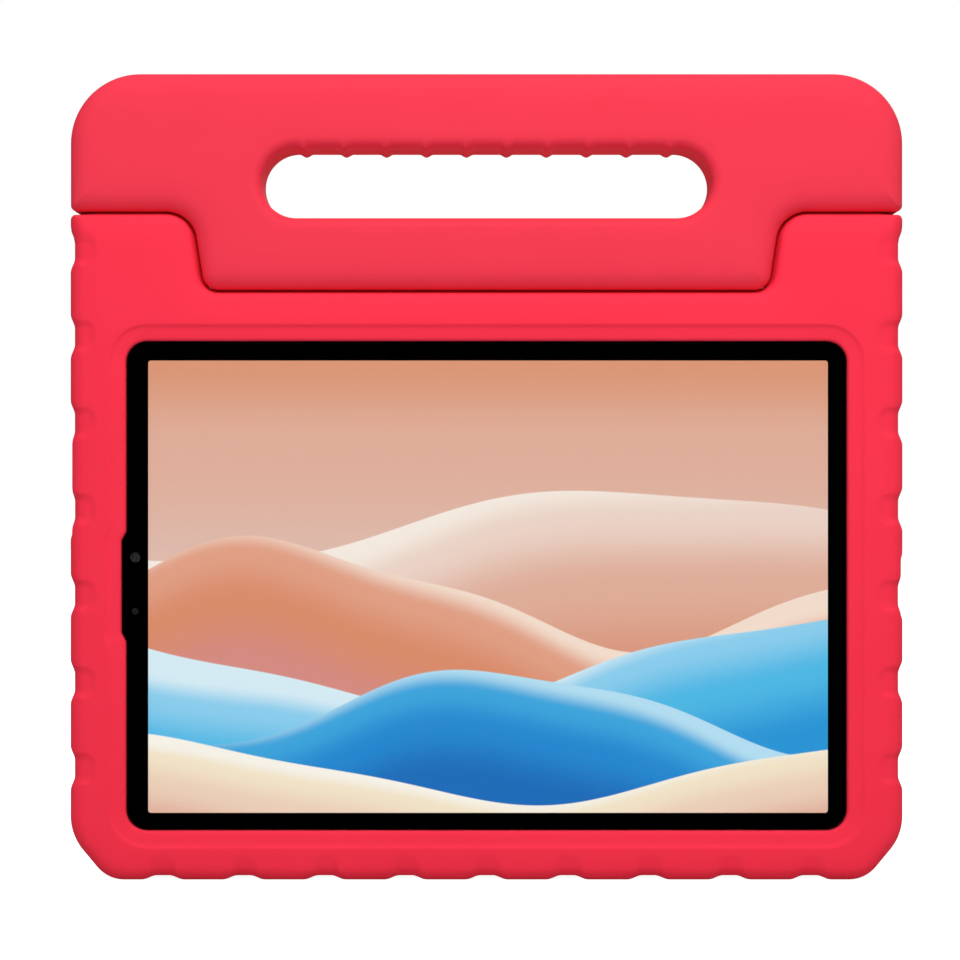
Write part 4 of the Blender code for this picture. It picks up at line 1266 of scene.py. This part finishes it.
    def on_split(self, wall: np.ndarray) -> np.ndarray:
        """1 for points of the wall along the split line, 0 elsewhere, with a blend at its ends.

        Args:
            wall: Outline of the wall.

        Returns:
            One share for each point.
        """
        x, z = np.abs(wall[:, 0]), wall[:, 1]
        edge = self.split.edge_round
        side = (z < self.shoulder() - edge) & (x > HALF_WIDTH - edge)
        below = z < self.split.floor() - self.split.gap / 2 - edge
        share = np.clip((HALF_WIDTH - x) / edge, 0.0, 1.0)
        return np.where(side | below, 0.0, share)

    def recess_sink(self, points: np.ndarray) -> tuple[np.ndarray, np.ndarray]:
        """How deep each point is pressed in by the grip recesses, and the way inwards.

        Args:
            points: Points before they are pressed in.

        Returns:
            One depth and one direction for each point.
        """
        x, z = points[:, 0], points[:, 1]
        floor_end = HALF_WIDTH - self.chamfer_width
        recesses = self.recesses
        on_side = z > self.chamfer_height + recesses.side_length / 2
        on_floor = ~on_side & (np.abs(x) < floor_end)
        across = HALF_WIDTH - np.abs(x)
        side = recesses.sink(z, across, recesses.side_middles(), recesses.side_length, recesses.side_fade)
        floor = recesses.sink(x, z, recesses.floor_middles(), recesses.floor_length, recesses.floor_fade)
        depth = np.where(on_side, side, np.where(on_floor, floor, 0.0))
        inwards = np.column_stack([np.where(on_side, -np.sign(x), 0.0), np.where(on_floor, 1.0, 0.0)])
        return depth, inwards

    def band(self, skin: Skin, wall: np.ndarray) -> list[Row]:
        """Adds the outer band with its grip recesses.

        Args:
            skin: Skin of the frame.
            wall: Outline of the wall.

        Returns:
            The band's rows.
        """
        corners, stops, weight = self.corners(), self.stops(), self.on_split(wall)
        front_end = FRONT + self.front_crown.rise
        front_end = front_end + self.front_roll.depth * (1 - weight) + self.split_roll.depth * weight
        back_end = BACK - self.back_crown.rise - self.back_roll.depth
        rows = []
        for row in self.band_rows():
            insets = [
                row.split_inset if run in self.split_runs else row.inset for run in range(len(corners))
            ]
            points = outline(corners, insets, stops)
            fall = row.fall * (1 - weight) + row.split_fall * weight
            if row.face is Face.WALL:
                depth = front_end + (back_end - front_end) * row.fall
                points = points + self.swelling(corners, stops, depth)
            elif row.face is Face.FRONT:
                depth = FRONT + fall + self.front_crown.fall(distance_to(points, wall))
            else:
                depth = BACK - fall - self.back_crown.fall(distance_to(points, wall))
            sunk, inwards = self.recess_sink(points)
            turn = math.pi / 2 * row.lean
            points = points + inwards * (sunk * math.cos(turn))[:, None]
            rows.append(skin.row(points, depth + sunk * math.sin(turn)))
        skin.band(rows)
        return rows

    def swelling(self, corners: list[Corner], stops: dict[int, list[float]], depth: np.ndarray) -> np.ndarray:
        """How far the wall of the split swells towards the handle, which closes the gap behind the face.

        Args:
            corners: Outline of the frame.
            stops: Places along its runs that get a point.
            depth: y of each point.

        Returns:
            The way that each point moves.
        """
        insets = [-self.swell if run in self.split_runs else 0.0 for run in range(len(corners))]
        still = outline(corners, 0.0, stops)
        share = eased(2 - 2 * np.abs(depth - self.swell_middle) / self.swell_reach)
        share = share * np.clip((HALF_WIDTH - np.abs(still[:, 0])) / self.swell_fade, 0.0, 1.0)
        return (outline(corners, insets, stops) - still) * share[:, None]

    def window_corners(self) -> list[Corner]:
        """Outline of the screen opening, with the shallow relief beside the front camera.

        Returns:
            Its corners, anticlockwise from the lower left.
        """
        half = HOUSING_HIGH.x - self.lip_overlap
        low = HOUSING_LOW.z + self.lip_overlap
        high = HOUSING_HIGH.z - self.lip_overlap + self.window_lift
        top = HOUSING_MIDDLE + self.relief_height / 2
        bottom = HOUSING_MIDDLE - self.relief_height / 2
        deep = -(half + self.relief_depth)
        edge = self.split.edge_round
        return [
            *rectangle(half, low, high, self.window_corner),
            Corner(-half, top, edge),
            Corner(deep, top - self.relief_slant, edge),
            Corner(deep, bottom + self.relief_slant, edge),
            Corner(-half, bottom, edge),
        ]

    def lip_profile(self) -> list[tuple[float, float]]:
        """Distance outside the screen opening and depth behind the face, down the sloping lip.

        Returns:
            The two lengths, row by row.
        """
        return [
            (self.lip_width + 0.7 * MM, 0.0),
            (self.lip_width + 0.2 * MM, 0.02 * MM),
            (self.lip_width - 0.15 * MM, 0.18 * MM),
            (self.lip_width - 0.5 * MM, 0.42 * MM),
            (self.lip_width - 1.0 * MM, 0.62 * MM),
            (self.lip_width - 1.8 * MM, 0.76 * MM),
            (self.lip_width - 3.0 * MM, 0.90 * MM),
            (1.2 * MM, 1.06 * MM),
            (0.7 * MM, 1.18 * MM),
            (0.35 * MM, 1.34 * MM),
            (0.10 * MM, 1.60 * MM),
            (0.0, 1.95 * MM),
            (0.0, self.lip_thickness),
        ]

    def lip(self, skin: Skin, wall: np.ndarray) -> list[Row]:
        """Adds the sloping lip round the screen.

        Args:
            skin: Skin of the frame.
            wall: Outline of the wall.

        Returns:
            The lip's rows.
        """
        rows = []
        for outside, depth in self.lip_profile():
            points = outline(self.window_corners(), -outside)
            crown = self.front_crown.fall(distance_to(points, wall)) if depth < self.lip_thickness else 0.0
            rows.append(skin.row(points, FRONT + depth + crown))
        skin.band(rows)
        return rows

    def pocket(self, skin: Skin, lip_end: Row) -> Row:
        """Adds the pocket that the tablet sits in, and the camera hole through its back.

        Args:
            skin: Skin of the frame.
            lip_end: Last row of the lip.

        Returns:
            The camera hole's row in the recess floor.
        """
        low, high = HOUSING_LOW.z - FIT_GAP, HOUSING_HIGH.z + FIT_GAP
        corners = rectangle(HOUSING_HIGH.x + FIT_GAP, low, high, self.pocket_corner)
        pocket_back = HOUSING_HIGH.y + FIT_GAP
        start, end = (skin.row(outline(corners), y) for y in (FRONT + self.lip_thickness, pocket_back))
        skin.band([start, end])
        skin.fill([start, lip_end])
        lens_low, lens_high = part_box("rear_camera_lens")
        x, z = (lens_low.x + lens_high.x) / 2, (lens_low.z + lens_high.z) / 2
        floor = pocket_back + self.back_panel
        hole = []
        for wider, y in (
            (0.5 * MM, pocket_back),
            (0.1 * MM, pocket_back + 0.2 * MM),
            (0.0, pocket_back + 0.6 * MM),
            (0.1 * MM, floor - 1.6 * MM),
            (0.3 * MM, floor - 0.9 * MM),
            (0.7 * MM, floor - 0.35 * MM),
            (1.2 * MM, floor - 0.08 * MM),
            (1.6 * MM, floor),
        ):
            hole.append(skin.row(circle(self.camera_hole_radius + wider, x, z), y))
        skin.band(hole)
        skin.fill([end, hole[0]])
        return hole[-1]

    def back(self, skin: Skin, band_end: Row, hole: Row, wall: np.ndarray) -> None:
        """Adds the back face and the recess in it.

        Args:
            skin: Skin of the frame.
            band_end: Last row of the outer band.
            hole: The camera hole's row in the recess floor.
            wall: Outline of the wall.
        """
        top = self.split.floor() - self.split.gap / 2 - self.back_rim_top
        corners = rectangle(HALF_WIDTH - self.back_rim, self.back_rim_floor, top, self.back_recess_corner)
        floor = HOUSING_HIGH.y + FIT_GAP + self.back_panel
        rows = [
            skin.row(outline(corners, -inset), BACK - fall)
            for inset, fall, _ in self.back_recess_roll.rows()
        ]
        for rise, inset, _ in self.recess_floor_fillet.rows():
            rows.append(skin.row(outline(corners, inset), floor + rise))
        skin.band(rows)
        skin.fill(
            [band_end, rows[0]],
            BACK_NET_SPACING,
            lambda points: BACK - self.back_crown.fall(distance_to(points, wall)),
        )
        skin.fill([rows[-1], hole])

    def notch_cutter(self, side: Side, length: float, middle: float) -> Object:
        """Makes the cutter of a notch in a side wall, with soft edges on the outside.

        Args:
            side: Which wall.
            length: Length of the notch.
            middle: Height of its middle.

        Returns:
            The cutter.
        """
        front, inner = FRONT + self.lip_thickness + FIT_GAP, HOUSING_HIGH.x - self.notch_bite
        half, roll = length / 2, self.notch_roll
        corners = [
            Corner(-half, front, self.notch_corner),
            Corner(half, front, self.notch_corner),
            Corner(half, BACK, roll.reach),
            Corner(half + 2 * roll.reach, BACK + roll.depth / 4, LEAST_RADIUS),
            Corner(half + 2 * roll.reach, BACK + 2 * PAST, LEAST_RADIUS),
            Corner(-half - 2 * roll.reach, BACK + 2 * PAST, LEAST_RADIUS),
            Corner(-half - 2 * roll.reach, BACK + roll.depth / 4, LEAST_RADIUS),
            Corner(-half, BACK, roll.reach),
        ]
        rows = [(0.0, inner)]
        for inset, fall, _ in reversed(roll.rows()):
            rows.append((inset, HALF_WIDTH - self.recesses.depth / 2 - fall))
        rows.append((roll.reach, HALF_WIDTH + PAST))
        skin = Skin()
        loops = []
        for wider, x in rows:
            points = outline(corners, -wider)
            loops.append([skin.bm.verts.new((side.value * x, y, middle + z)) for z, y in points])
        skin.band(loops)
        skin.bm.faces.new(loops[0])
        skin.bm.faces.new(loops[-1])
        return skin.to_object(f"notch_{side.name.lower()}")

    def bore_cutters(self) -> list[Object]:
        """Makes the cutters of the bores that the hinge sockets sit in."""
        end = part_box("hinge_socket_right")[1].x + FIT_GAP
        return [hinge_bore("bore", side, self.split.cheek_width / 2 - PAST, end) for side in Side]

    def build(self) -> Object:
        """Builds the frame.

        Returns:
            The frame's object.
        """
        skin = Skin()
        wall = outline(self.corners(), 0.0, self.stops())
        band = self.band(skin, wall)
        lip = self.lip(skin, wall)
        skin.fill(
            [band[0], lip[0]],
            NET_SPACING,
            lambda points: FRONT + self.front_crown.fall(distance_to(points, wall)),
        )
        hole = self.pocket(skin, lip[-1])
        self.back(skin, band[-1], hole, wall)
        skin.soften(band[1 : self.face_rows + ROLL_STEPS], self.shoulder(), self.soften_reach)
        obj = skin.to_object("foam_frame")
        key_middle = HOUSING_MIDDLE + self.key_notch_above_middle
        cutters = [
            self.notch_cutter(Side.RIGHT, self.port_notch, HOUSING_MIDDLE),
            self.notch_cutter(Side.LEFT, self.key_notch, key_middle),
            *self.bore_cutters(),
        ]
        carve(obj, cutters)
        return obj

    def dress(self, obj: Object) -> None:
        """Gives the frame its finish and its place in the part.

        Args:
            obj: The frame's object.
        """
        obj.data.materials.clear()
        obj.data.materials.append(EVA_FOAM.make())
        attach(obj, Body.CASE.value)
        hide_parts("case_body")


@dataclass
class FoamHandle:
    """The moulded foam handle with its finger slot and its tongue."""

    split: SplitLine
    corner: float = 23.5 * MM
    front_roll: Roll = Roll(6.0 * MM, 3.8 * MM)
    back_roll: Roll = Roll(5.0 * MM, 4.6 * MM)
    front_crown: Crown = Crown(1.4 * MM, 14.0 * MM)
    back_crown: Crown = Crown(0.4 * MM, 10.0 * MM)
    slot_crown: Crown = Crown(0.35 * MM, 9.0 * MM)
    wall_rows: int = 5
    cheek_rows: int = 6
    cheek_blend: float = 3.0 * MM
    flange_radius: float = 6.0 * MM
    slot_width: float = 151.4 * MM
    slot_opening: float = 23.6 * MM
    slot_over_shoulder: float = 1.9 * MM
    slot_roll: Roll = Roll(3.5 * MM, 3.5 * MM)
    slot_wall_rows: int = 7
    slot_arc_steps: int = 40
    ridge_count: int = 10
    ridge_pitch: float = 13.7 * MM
    ridge_width: float = 4.8 * MM
    ridge_proud: float = 1.0 * MM
    ridge_step: float = 0.5 * MM
    soften_reach: float = 12.0 * MM

    def corners(self, cheek: float = 0.0) -> list[Corner]:
        """Outline of the handle, anticlockwise from its lower left corner.

        Args:
            cheek: 0 for the slanted outline in front, 1 for the narrow cheeks on the hinge.

        Returns:
            Its corners.
        """
        low = self.split.shoulder_height + self.split.gap / 2
        edge = self.split.edge_round
        return [
            Corner(-HALF_WIDTH, low, edge),
            *self.split.corners(self.split.gap / 2, cheek),
            Corner(HALF_WIDTH, low, edge),
            Corner(HALF_WIDTH, CASE_HEIGHT, self.corner),
            Corner(-HALF_WIDTH, CASE_HEIGHT, self.corner),
        ]

    def slot_middle(self) -> float:
        """Height of the slot's middle."""
        return self.split.shoulder_height - self.slot_over_shoulder + self.slot_opening / 2

    def slot_outline(self, grow: float, ridge_share: float) -> np.ndarray:
        """Outline of the finger slot, with the ridges that hang into it from the grip.

        Args:
            grow: How much larger than the opening it is.
            ridge_share: How far the ridges stand out there, from 0 to 1.

        Returns:
            The points as an array of x and z.
        """
        radius, middle = self.slot_opening / 2, self.slot_middle()
        centre = self.slot_width / 2 - radius
        turns = np.linspace(-math.pi / 2, math.pi / 2, self.slot_arc_steps + 1)
        cosines, sines = np.cos(turns), np.sin(turns)
        right = np.column_stack([centre + (radius + grow) * cosines, middle + (radius + grow) * sines])
        left = np.column_stack([-right[:, 0], 2 * middle - right[:, 1]])
        steps = int(2 * centre / self.ridge_step)
        run = centre - 2 * centre * np.arange(1, steps) / steps
        ridges = self.ridge_pitch * (np.arange(self.ridge_count) - (self.ridge_count - 1) / 2)
        off = np.abs(run[:, None] - ridges[None, :]).min(1) / (self.ridge_width / 2)
        bump = np.where(off < 1, (1 + np.cos(math.pi * off)) / 2, 0.0)
        top = np.column_stack([run, middle + radius + grow - self.ridge_proud * ridge_share * bump])
        low_steps = int(2 * centre / STEP)
        low_run = -centre + 2 * centre * np.arange(1, low_steps) / low_steps
        low = np.column_stack([low_run, np.full(len(low_run), middle - radius - grow)])
        return np.vstack([right, top, left, low])

    def band(self, skin: Skin, wall: np.ndarray) -> list[Row]:
        """Adds the outer band, whose cheeks narrow towards the hinge.

        Args:
            skin: Skin of the handle.
            wall: Outline of the wall in front.

        Returns:
            The band's rows.
        """
        base, rows = self.corners(), []
        for inset, fall, _ in self.front_roll.rows():
            points = outline(base, inset)
            rows.append(skin.row(points, FRONT + fall + self.front_crown.fall(distance_to(points, wall))))
        front_end = FRONT + self.front_roll.depth + self.front_crown.rise
        blend_end = HINGE_Y - self.flange_radius - FIT_GAP
        blend_start = blend_end - self.cheek_blend
        back_end = BACK - self.back_roll.depth - self.back_crown.rise
        for step in range(1, self.wall_rows + 1):
            y = front_end + (blend_start - front_end) * step / (self.wall_rows + 1)
            rows.append(skin.row(outline(base), y))
        for step in range(self.cheek_rows + 1):
            share = step / self.cheek_rows
            points = outline(self.corners(share), 0.0, like=base)
            rows.append(skin.row(points, blend_start + self.cheek_blend * share))
        cheeks = self.corners(1.0)
        for step in range(1, self.wall_rows + 1):
            y = blend_end + (back_end - blend_end) * step / (self.wall_rows + 1)
            rows.append(skin.row(outline(cheeks, 0.0, like=base), y))
        back_wall = outline(cheeks, 0.0, like=base)
        for inset, fall, _ in reversed(self.back_roll.rows()):
            points = outline(cheeks, inset, like=base)
            rows.append(skin.row(points, BACK - fall - self.back_crown.fall(distance_to(points, back_wall))))
        skin.band(rows)
        return rows

    def slot(self, skin: Skin, wall: np.ndarray) -> list[Row]:
        """Adds the wall of the finger slot.

        Args:
            skin: Skin of the handle.
            wall: Outline of the wall in front.

        Returns:
            The slot's rows.
        """
        rows = []
        for inset, fall, _ in self.slot_roll.rows():
            points = self.slot_outline(inset, 1 - inset / self.slot_roll.reach)
            crown = self.front_crown.fall(distance_to(points, wall))
            crown += self.slot_crown.fall(np.full(len(points), inset))
            rows.append(skin.row(points, FRONT + fall + crown))
        front_end = FRONT + self.slot_roll.depth + self.slot_crown.rise
        back_end = BACK - self.slot_roll.depth - self.slot_crown.rise
        for step in range(1, self.slot_wall_rows + 1):
            y = front_end + (back_end - front_end) * step / (self.slot_wall_rows + 1)
            rows.append(skin.row(self.slot_outline(0.0, 1.0), y))
        for inset, fall, _ in reversed(self.slot_roll.rows()):
            points = self.slot_outline(inset, 1 - inset / self.slot_roll.reach)
            crown = self.slot_crown.fall(np.full(len(points), inset))
            rows.append(skin.row(points, BACK - fall - crown))
        skin.band(rows)
        return rows

    def bore_cutters(self) -> list[Object]:
        """Makes the cutters of the bores that the hinge bushes sit in."""
        start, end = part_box("hinge_bush_right")[0].x - FIT_GAP, self.split.cheek_width / 2 + PAST
        return [hinge_bore("bush_bore", side, start, end) for side in Side]

    def build(self) -> Object:
        """Builds the handle.

        Returns:
            The handle's object.
        """
        skin = Skin()
        wall = outline(self.corners())
        back_wall = outline(self.corners(1.0), 0.0, like=self.corners())
        plain_slot = self.slot_outline(0.0, 0.0)
        band = self.band(skin, wall)
        slot = self.slot(skin, wall)

        def front_depth(points: np.ndarray) -> np.ndarray:
            """Depth of the front face between its edges."""
            crown = self.front_crown.fall(distance_to(points, wall))
            return FRONT + crown + self.slot_crown.fall(distance_to(points, plain_slot))

        def back_depth(points: np.ndarray) -> np.ndarray:
            """Depth of the back face between its edges."""
            crown = self.back_crown.fall(distance_to(points, back_wall))
            return BACK - crown - self.slot_crown.fall(distance_to(points, plain_slot))

        skin.fill([band[0], slot[0]], NET_SPACING, front_depth)
        skin.fill([band[-1], slot[-1]], BACK_NET_SPACING, back_depth)
        low = self.split.shoulder_height + self.split.gap / 2
        skin.soften(band[1:ROLL_STEPS], low, self.soften_reach)
        obj = skin.to_object("foam_handle")
        carve(obj, self.bore_cutters())
        return obj

    def dress(self, obj: Object) -> None:
        """Gives the handle its finish and its place in the part.

        Args:
            obj: The handle's object.
        """
        obj.data.materials.clear()
        # The handle gets the frame's foam painted a shade paler, as a painted sheen from the light above.
        obj.data.materials.append(EVA_FOAM_HANDLE_PAINTED_SHEEN.make())
        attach(obj, Body.HANDLE.value)
        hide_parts("handle")


class Hinge:
    """Steel pins, nylon bushes and sockets that the handle turns on."""

    def dress(self) -> None:
        """Gives the hinge's nodes their finishes."""
        steel, nylon = STAINLESS_STEEL.make(), NATURAL_NYLON.make()
        for side in Side:
            word = side.name.lower()
            finish_node(f"hinge_pin_{word}", steel)
            finish_node(f"hinge_bush_{word}", nylon)
            finish_node(f"hinge_socket_{word}", nylon)


def finish_node(node: str, material: Material) -> None:
    """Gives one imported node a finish.

    Args:
        node: Name of the node.
        material: Its finish.
    """
    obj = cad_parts[node]
    obj.data.materials.clear()
    obj.data.materials.append(material)
    LOG.info("finished %s as %s", node, material.name)


@dataclass
class Tablet:
    """The small tablet that the case holds."""

    corner: float = 9.7 * MM
    print_thickness: float = 0.10 * MM
    print_overlap: float = 0.15 * MM
    display_corner: float = 0.9 * MM
    window_clearance: float = 0.1 * MM
    ring_edge: float = 0.3 * MM
    lens_rise: float = 0.25 * MM

    def border_print(self) -> Object:
        """Builds the black print behind the border of the glass, open over the display and the sensors.

        Returns:
            The print's object.
        """
        half = GLASS_HIGH.x - FIT_GAP
        outer = rectangle(half, GLASS_LOW.z + FIT_GAP, GLASS_HIGH.z - FIT_GAP, self.corner - FIT_GAP)
        middle = (DISPLAY_LOW.x + DISPLAY_HIGH.x) / 2
        inner = rectangle(
            (DISPLAY_HIGH.x - DISPLAY_LOW.x) / 2 - self.print_overlap,
            DISPLAY_LOW.z + self.print_overlap,
            DISPLAY_HIGH.z - self.print_overlap,
            self.display_corner,
            middle,
        )
        loops = [outline(outer), outline(inner)]
        for node in ("front_camera", "light_sensor"):
            low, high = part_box(node)
            centre_x, centre_z = (low.x + high.x) / 2, (low.z + high.z) / 2
            loops.append(circle((high.x - low.x) / 2 + self.window_clearance, centre_x, centre_z))
        front = GLASS_HIGH.y + self.print_thickness / 2
        skin = Skin()
        faces = []
        for y in (front, front + self.print_thickness):
            faces.append([skin.row(loop, y) for loop in loops])
        for first, second in zip(*faces):
            skin.band([first, second])
        for rows in faces:
            skin.fill(rows)
        return skin.to_object("border_print")

    def rear_camera(self) -> dict[str, Object]:
        """Builds the rear camera's ring, lens and barrel with fine round edges.

        Returns:
            Each object by the name of the node that it stands for.
        """
        low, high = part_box("rear_camera_ring")
        lens_low, lens_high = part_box("rear_camera_lens")
        barrel_low, barrel_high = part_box("rear_camera")
        place = Vector(((low.x + high.x) / 2, 0, (low.z + high.z) / 2))
        outer, edge = (high.x - low.x) / 2, self.ring_edge
        bore = (lens_high.x - lens_low.x) / 2 + FIT_GAP
        axis = Vector((0, 1, 0))
        ring_profile = [(bore, low.y), (outer, low.y)]
        for inset, fall, _ in Roll(edge, edge).rows():
            ring_profile.append((outer - fall, high.y - inset))
        ring_profile += [(bore + edge / 2, high.y), (bore, high.y - edge / 2)]
        radius, rise = (lens_high.x - lens_low.x) / 2, self.lens_rise
        lens_profile = [(0, lens_low.y), (radius, lens_low.y), (radius, lens_high.y - rise)]
        for step in range(1, ROLL_STEPS):
            share = 1 - step / ROLL_STEPS
            lens_profile.append((radius * share, lens_high.y - rise * share**2))
        lens_profile.append((0, lens_high.y))
        barrel = (barrel_high.x - barrel_low.x) / 2
        barrel_profile = [
            (0, barrel_low.y),
            (barrel, barrel_low.y),
            (barrel, barrel_high.y),
            (barrel * 0.8, barrel_high.y),
            (barrel * 0.72, barrel_high.y - 0.5 * MM),
            (barrel * 0.5, barrel_high.y - 0.5 * MM),
            (barrel * 0.42, barrel_high.y - 1.1 * MM),
            (0, barrel_high.y - 1.1 * MM),
        ]
        return {
            "rear_camera_ring": turned("camera_ring", ring_profile, axis, place),
            "rear_camera_lens": turned("camera_lens", lens_profile, axis, place),
            "rear_camera": turned("camera_barrel", barrel_profile, axis, place),
        }

    def build(self) -> None:
        """Builds and dresses the tablet's own finer pieces."""
        border = self.border_print()
        border.data.materials.append(SCREEN_INK.make())
        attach(border, Body.CASE.value)
        finishes = {
            "rear_camera_ring": (ANODISED_ALUMINIUM, "tablet_aluminium"),
            "rear_camera_lens": (CoatedLens(), "camera_glass"),
            "rear_camera": (BLACK_POLYCARBONATE, "camera_black"),
        }
        for node, obj in self.rear_camera().items():
            finish, slot = finishes[node]
            obj.data.materials.append(finish.make())
            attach(obj, Body.CASE.value)
            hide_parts(node)
            LOG.info("built %s for %s", obj.name, node)

    def dress(self) -> None:
        """Gives the tablet's other nodes their finishes."""
        speakers = [f"speaker_{side}_{end}" for side in ("left", "right") for end in ("top", "bottom")]
        for finish, nodes in (
            (ANODISED_ALUMINIUM, ("tablet_housing", "power_key", "volume_key")),
            (GASKET_FOAM, ("screen_gasket",)),
            (STAINLESS_STEEL, ("charging_port",)),
            (BLACK_POLYCARBONATE, speakers),
            (SMOKED_ACRYLIC, ("front_camera", "light_sensor")),
            (POUCH_FILM, ("battery_left", "battery_right")),
            (SOLDER_MASK, ("main_board",)),
            (ClearGlass(), ("cover_glass",)),
            (ScreenPicture(), ("display_panel",)),
        ):
            material = finish.make()
            for node in nodes:
                finish_node(node, material)


@dataclass(frozen=True)
class SoftBox:
    """One soft box of the studio.

    Attributes:
        name: Name of the light.
        place: Where it hangs.
        size: Side of its square.
        power: Power in watts.
        colour: Colour of its light.
    """

    name: str
    place: tuple[float, float, float]
    size: float
    power: float
    colour: str


@dataclass
class Studio:
    """A pale floor, soft lights and the camera straight in front."""

    floor_size: float = 9.0
    floor_colour: str = "#CACACA"
    floor_fibres: str = "#C4C4C4"
    sky_above: float = 0.46
    sky_below: float = 0.2
    sky_turn: tuple[float, float] = (-0.3, 0.8)
    camera_x: float = -2.2 * MM
    camera_z: float = 134.4 * MM
    camera_distance: float = 950.0 * MM
    view_width: float = 321.4 * MM
    flag_size: float = 1.8
    flag_behind: float = 1.3
    fibre_scale: float = 300.0
    floor_glow: float = 0.95
    soft_boxes: tuple[SoftBox, ...] = (
        SoftBox("key", (0.08, -0.68, 0.82), 0.6, 7.4, "#FFFBF8"),
        SoftBox("fill_right", (0.95, -0.9, 0.02), 0.8, 1.8, "#FFFFFF"),
        SoftBox("fill_left", (-0.95, -0.9, 0.02), 0.8, 1.8, "#F4F6FF"),
        SoftBox("back", (0.35, 0.95, 0.75), 0.8, 2.6, "#FFFFFF"),
    )

    @staticmethod
    def sheet(name: str, size: float, segments: int) -> Object:
        """Makes a flat square sheet for the stage.

        Args:
            name: Name of the sheet.
            size: Its side.
            segments: Number of squares along a side.

        Returns:
            The new object.
        """
        mesh = bpy.data.meshes.new(name)
        bm = bmesh.new()
        bmesh.ops.create_grid(bm, x_segments=segments, y_segments=segments, size=size / 2)
        bm.to_mesh(mesh)
        bm.free()
        return placed(name, mesh)

    def floor(self) -> None:
        """Lays the floor."""
        obj = self.sheet("studio_floor", self.floor_size, 8)
        obj.data.materials.append(self.paper())
        obj.visible_glossy = False
        obj.visible_transmission = False

    def paper(self) -> Material:
        """Pale paper that glows where the camera sees it, so that it shows as pure white.

        Returns:
            The finished material.
        """
        made, tree = empty_material("studio_paper")
        place = add_node(tree, "ShaderNodeTexCoord").outputs["Object"]
        fibres = add_node(
            tree, "ShaderNodeTexNoise", {"Vector": place, "Scale": self.fibre_scale}
        ).outputs["Fac"]
        colour = add_node(
            tree,
            "ShaderNodeMix",
            {0: fibres, 6: linear(self.floor_fibres), 7: linear(self.floor_colour)},
            data_type="RGBA",
        ).outputs[2]
        seen = add_node(tree, "ShaderNodeLightPath").outputs["Is Camera Ray"]
        glow = add_node(
            tree, "ShaderNodeMath", {0: seen, 1: self.floor_glow}, operation="MULTIPLY"
        ).outputs[0]
        shader = add_node(
            tree,
            "ShaderNodeBsdfPrincipled",
            {"Base Color": colour, "Roughness": 0.9, "Emission Color": linear("#FFFFFF")},
        )
        tree.links.new(glow, shader.inputs["Emission Strength"])
        add_node(tree, "ShaderNodeOutputMaterial", {"Surface": shader.outputs[0]})
        return made

    def flag(self) -> None:
        """Hangs a black card behind the camera, which shows only in reflections."""
        obj = self.sheet("studio_flag", self.flag_size, 2)
        obj.rotation_euler = (math.pi / 2, 0, 0)
        obj.location = (self.camera_x, FRONT - self.camera_distance * self.flag_behind, self.camera_z)
        obj.visible_camera = False
        obj.visible_diffuse = False
        obj.visible_shadow = False
        obj.data.materials.append(BLACK_CARD.make())

    def light(self, box: SoftBox) -> None:
        """Hangs one soft box that faces the middle of the case.

        Args:
            box: The soft box.
        """
        data = bpy.data.lights.new(box.name, "AREA")
        data.shape = "SQUARE"
        data.size = box.size
        data.energy = box.power
        data.color = linear(box.colour)[:3]
        obj = placed(box.name, data)
        obj.location = box.place
        way = Vector((0, 0, CASE_HEIGHT / 2)) - Vector(box.place)
        obj.rotation_euler = way.to_track_quat("-Z", "Y").to_euler()

    def sky(self) -> None:
        """Sets a white surround that lights the object more from above than from below."""
        world = bpy.data.worlds.new("studio_surround")
        world.use_nodes = True
        tree = world.node_tree
        tree.nodes.clear()
        seen = add_node(tree, "ShaderNodeLightPath").outputs["Is Camera Ray"]
        way = add_node(tree, "ShaderNodeTexCoord").outputs["Generated"]
        up = add_node(tree, "ShaderNodeSeparateXYZ", {0: way}).outputs["Z"]
        low, high = self.sky_turn
        given = add_node(
            tree, "ShaderNodeMapRange", {0: up, 1: low, 2: high, 3: self.sky_below, 4: self.sky_above}
        ).outputs[0]
        strength = add_node(
            tree, "ShaderNodeMix", {0: seen, 2: given, 3: 1.0}, data_type="FLOAT"
        ).outputs[0]
        light = add_node(
            tree, "ShaderNodeBackground", {"Color": linear("#FFFFFF"), "Strength": strength}
        ).outputs[0]
        add_node(tree, "ShaderNodeOutputWorld", {"Surface": light})
        bpy.context.scene.world = world

    def camera(self) -> None:
        """Sets the camera at the photograph's view."""
        data = bpy.data.cameras.new("camera")
        data.lens = data.sensor_width * self.camera_distance / self.view_width
        obj = placed("camera", data)
        obj.location = (self.camera_x, FRONT - self.camera_distance, self.camera_z)
        obj.rotation_euler = (math.pi / 2, 0, 0)
        bpy.context.scene.camera = obj

    def build(self) -> None:
        """Sets up the whole studio."""
        self.floor()
        self.flag()
        self.sky()
        for box in self.soft_boxes:
            self.light(box)
        self.camera()
        bpy.context.scene.view_settings.view_transform = "Standard"


def main() -> None:
    """Builds the studio, the foam, the hinge and the tablet."""
    logging.basicConfig(level=logging.INFO, format="%(name)s: %(message)s")
    split = SplitLine()
    Studio().build()
    for moulding in (FoamFrame(split), FoamHandle(split)):
        made = moulding.build()
        moulding.dress(made)
        LOG.info("built %s with %d faces", made.name, len(made.data.polygons))
    Hinge().dress()
    tablet = Tablet()
    tablet.build()
    tablet.dress()


if __name__ == "__main__":
    main()
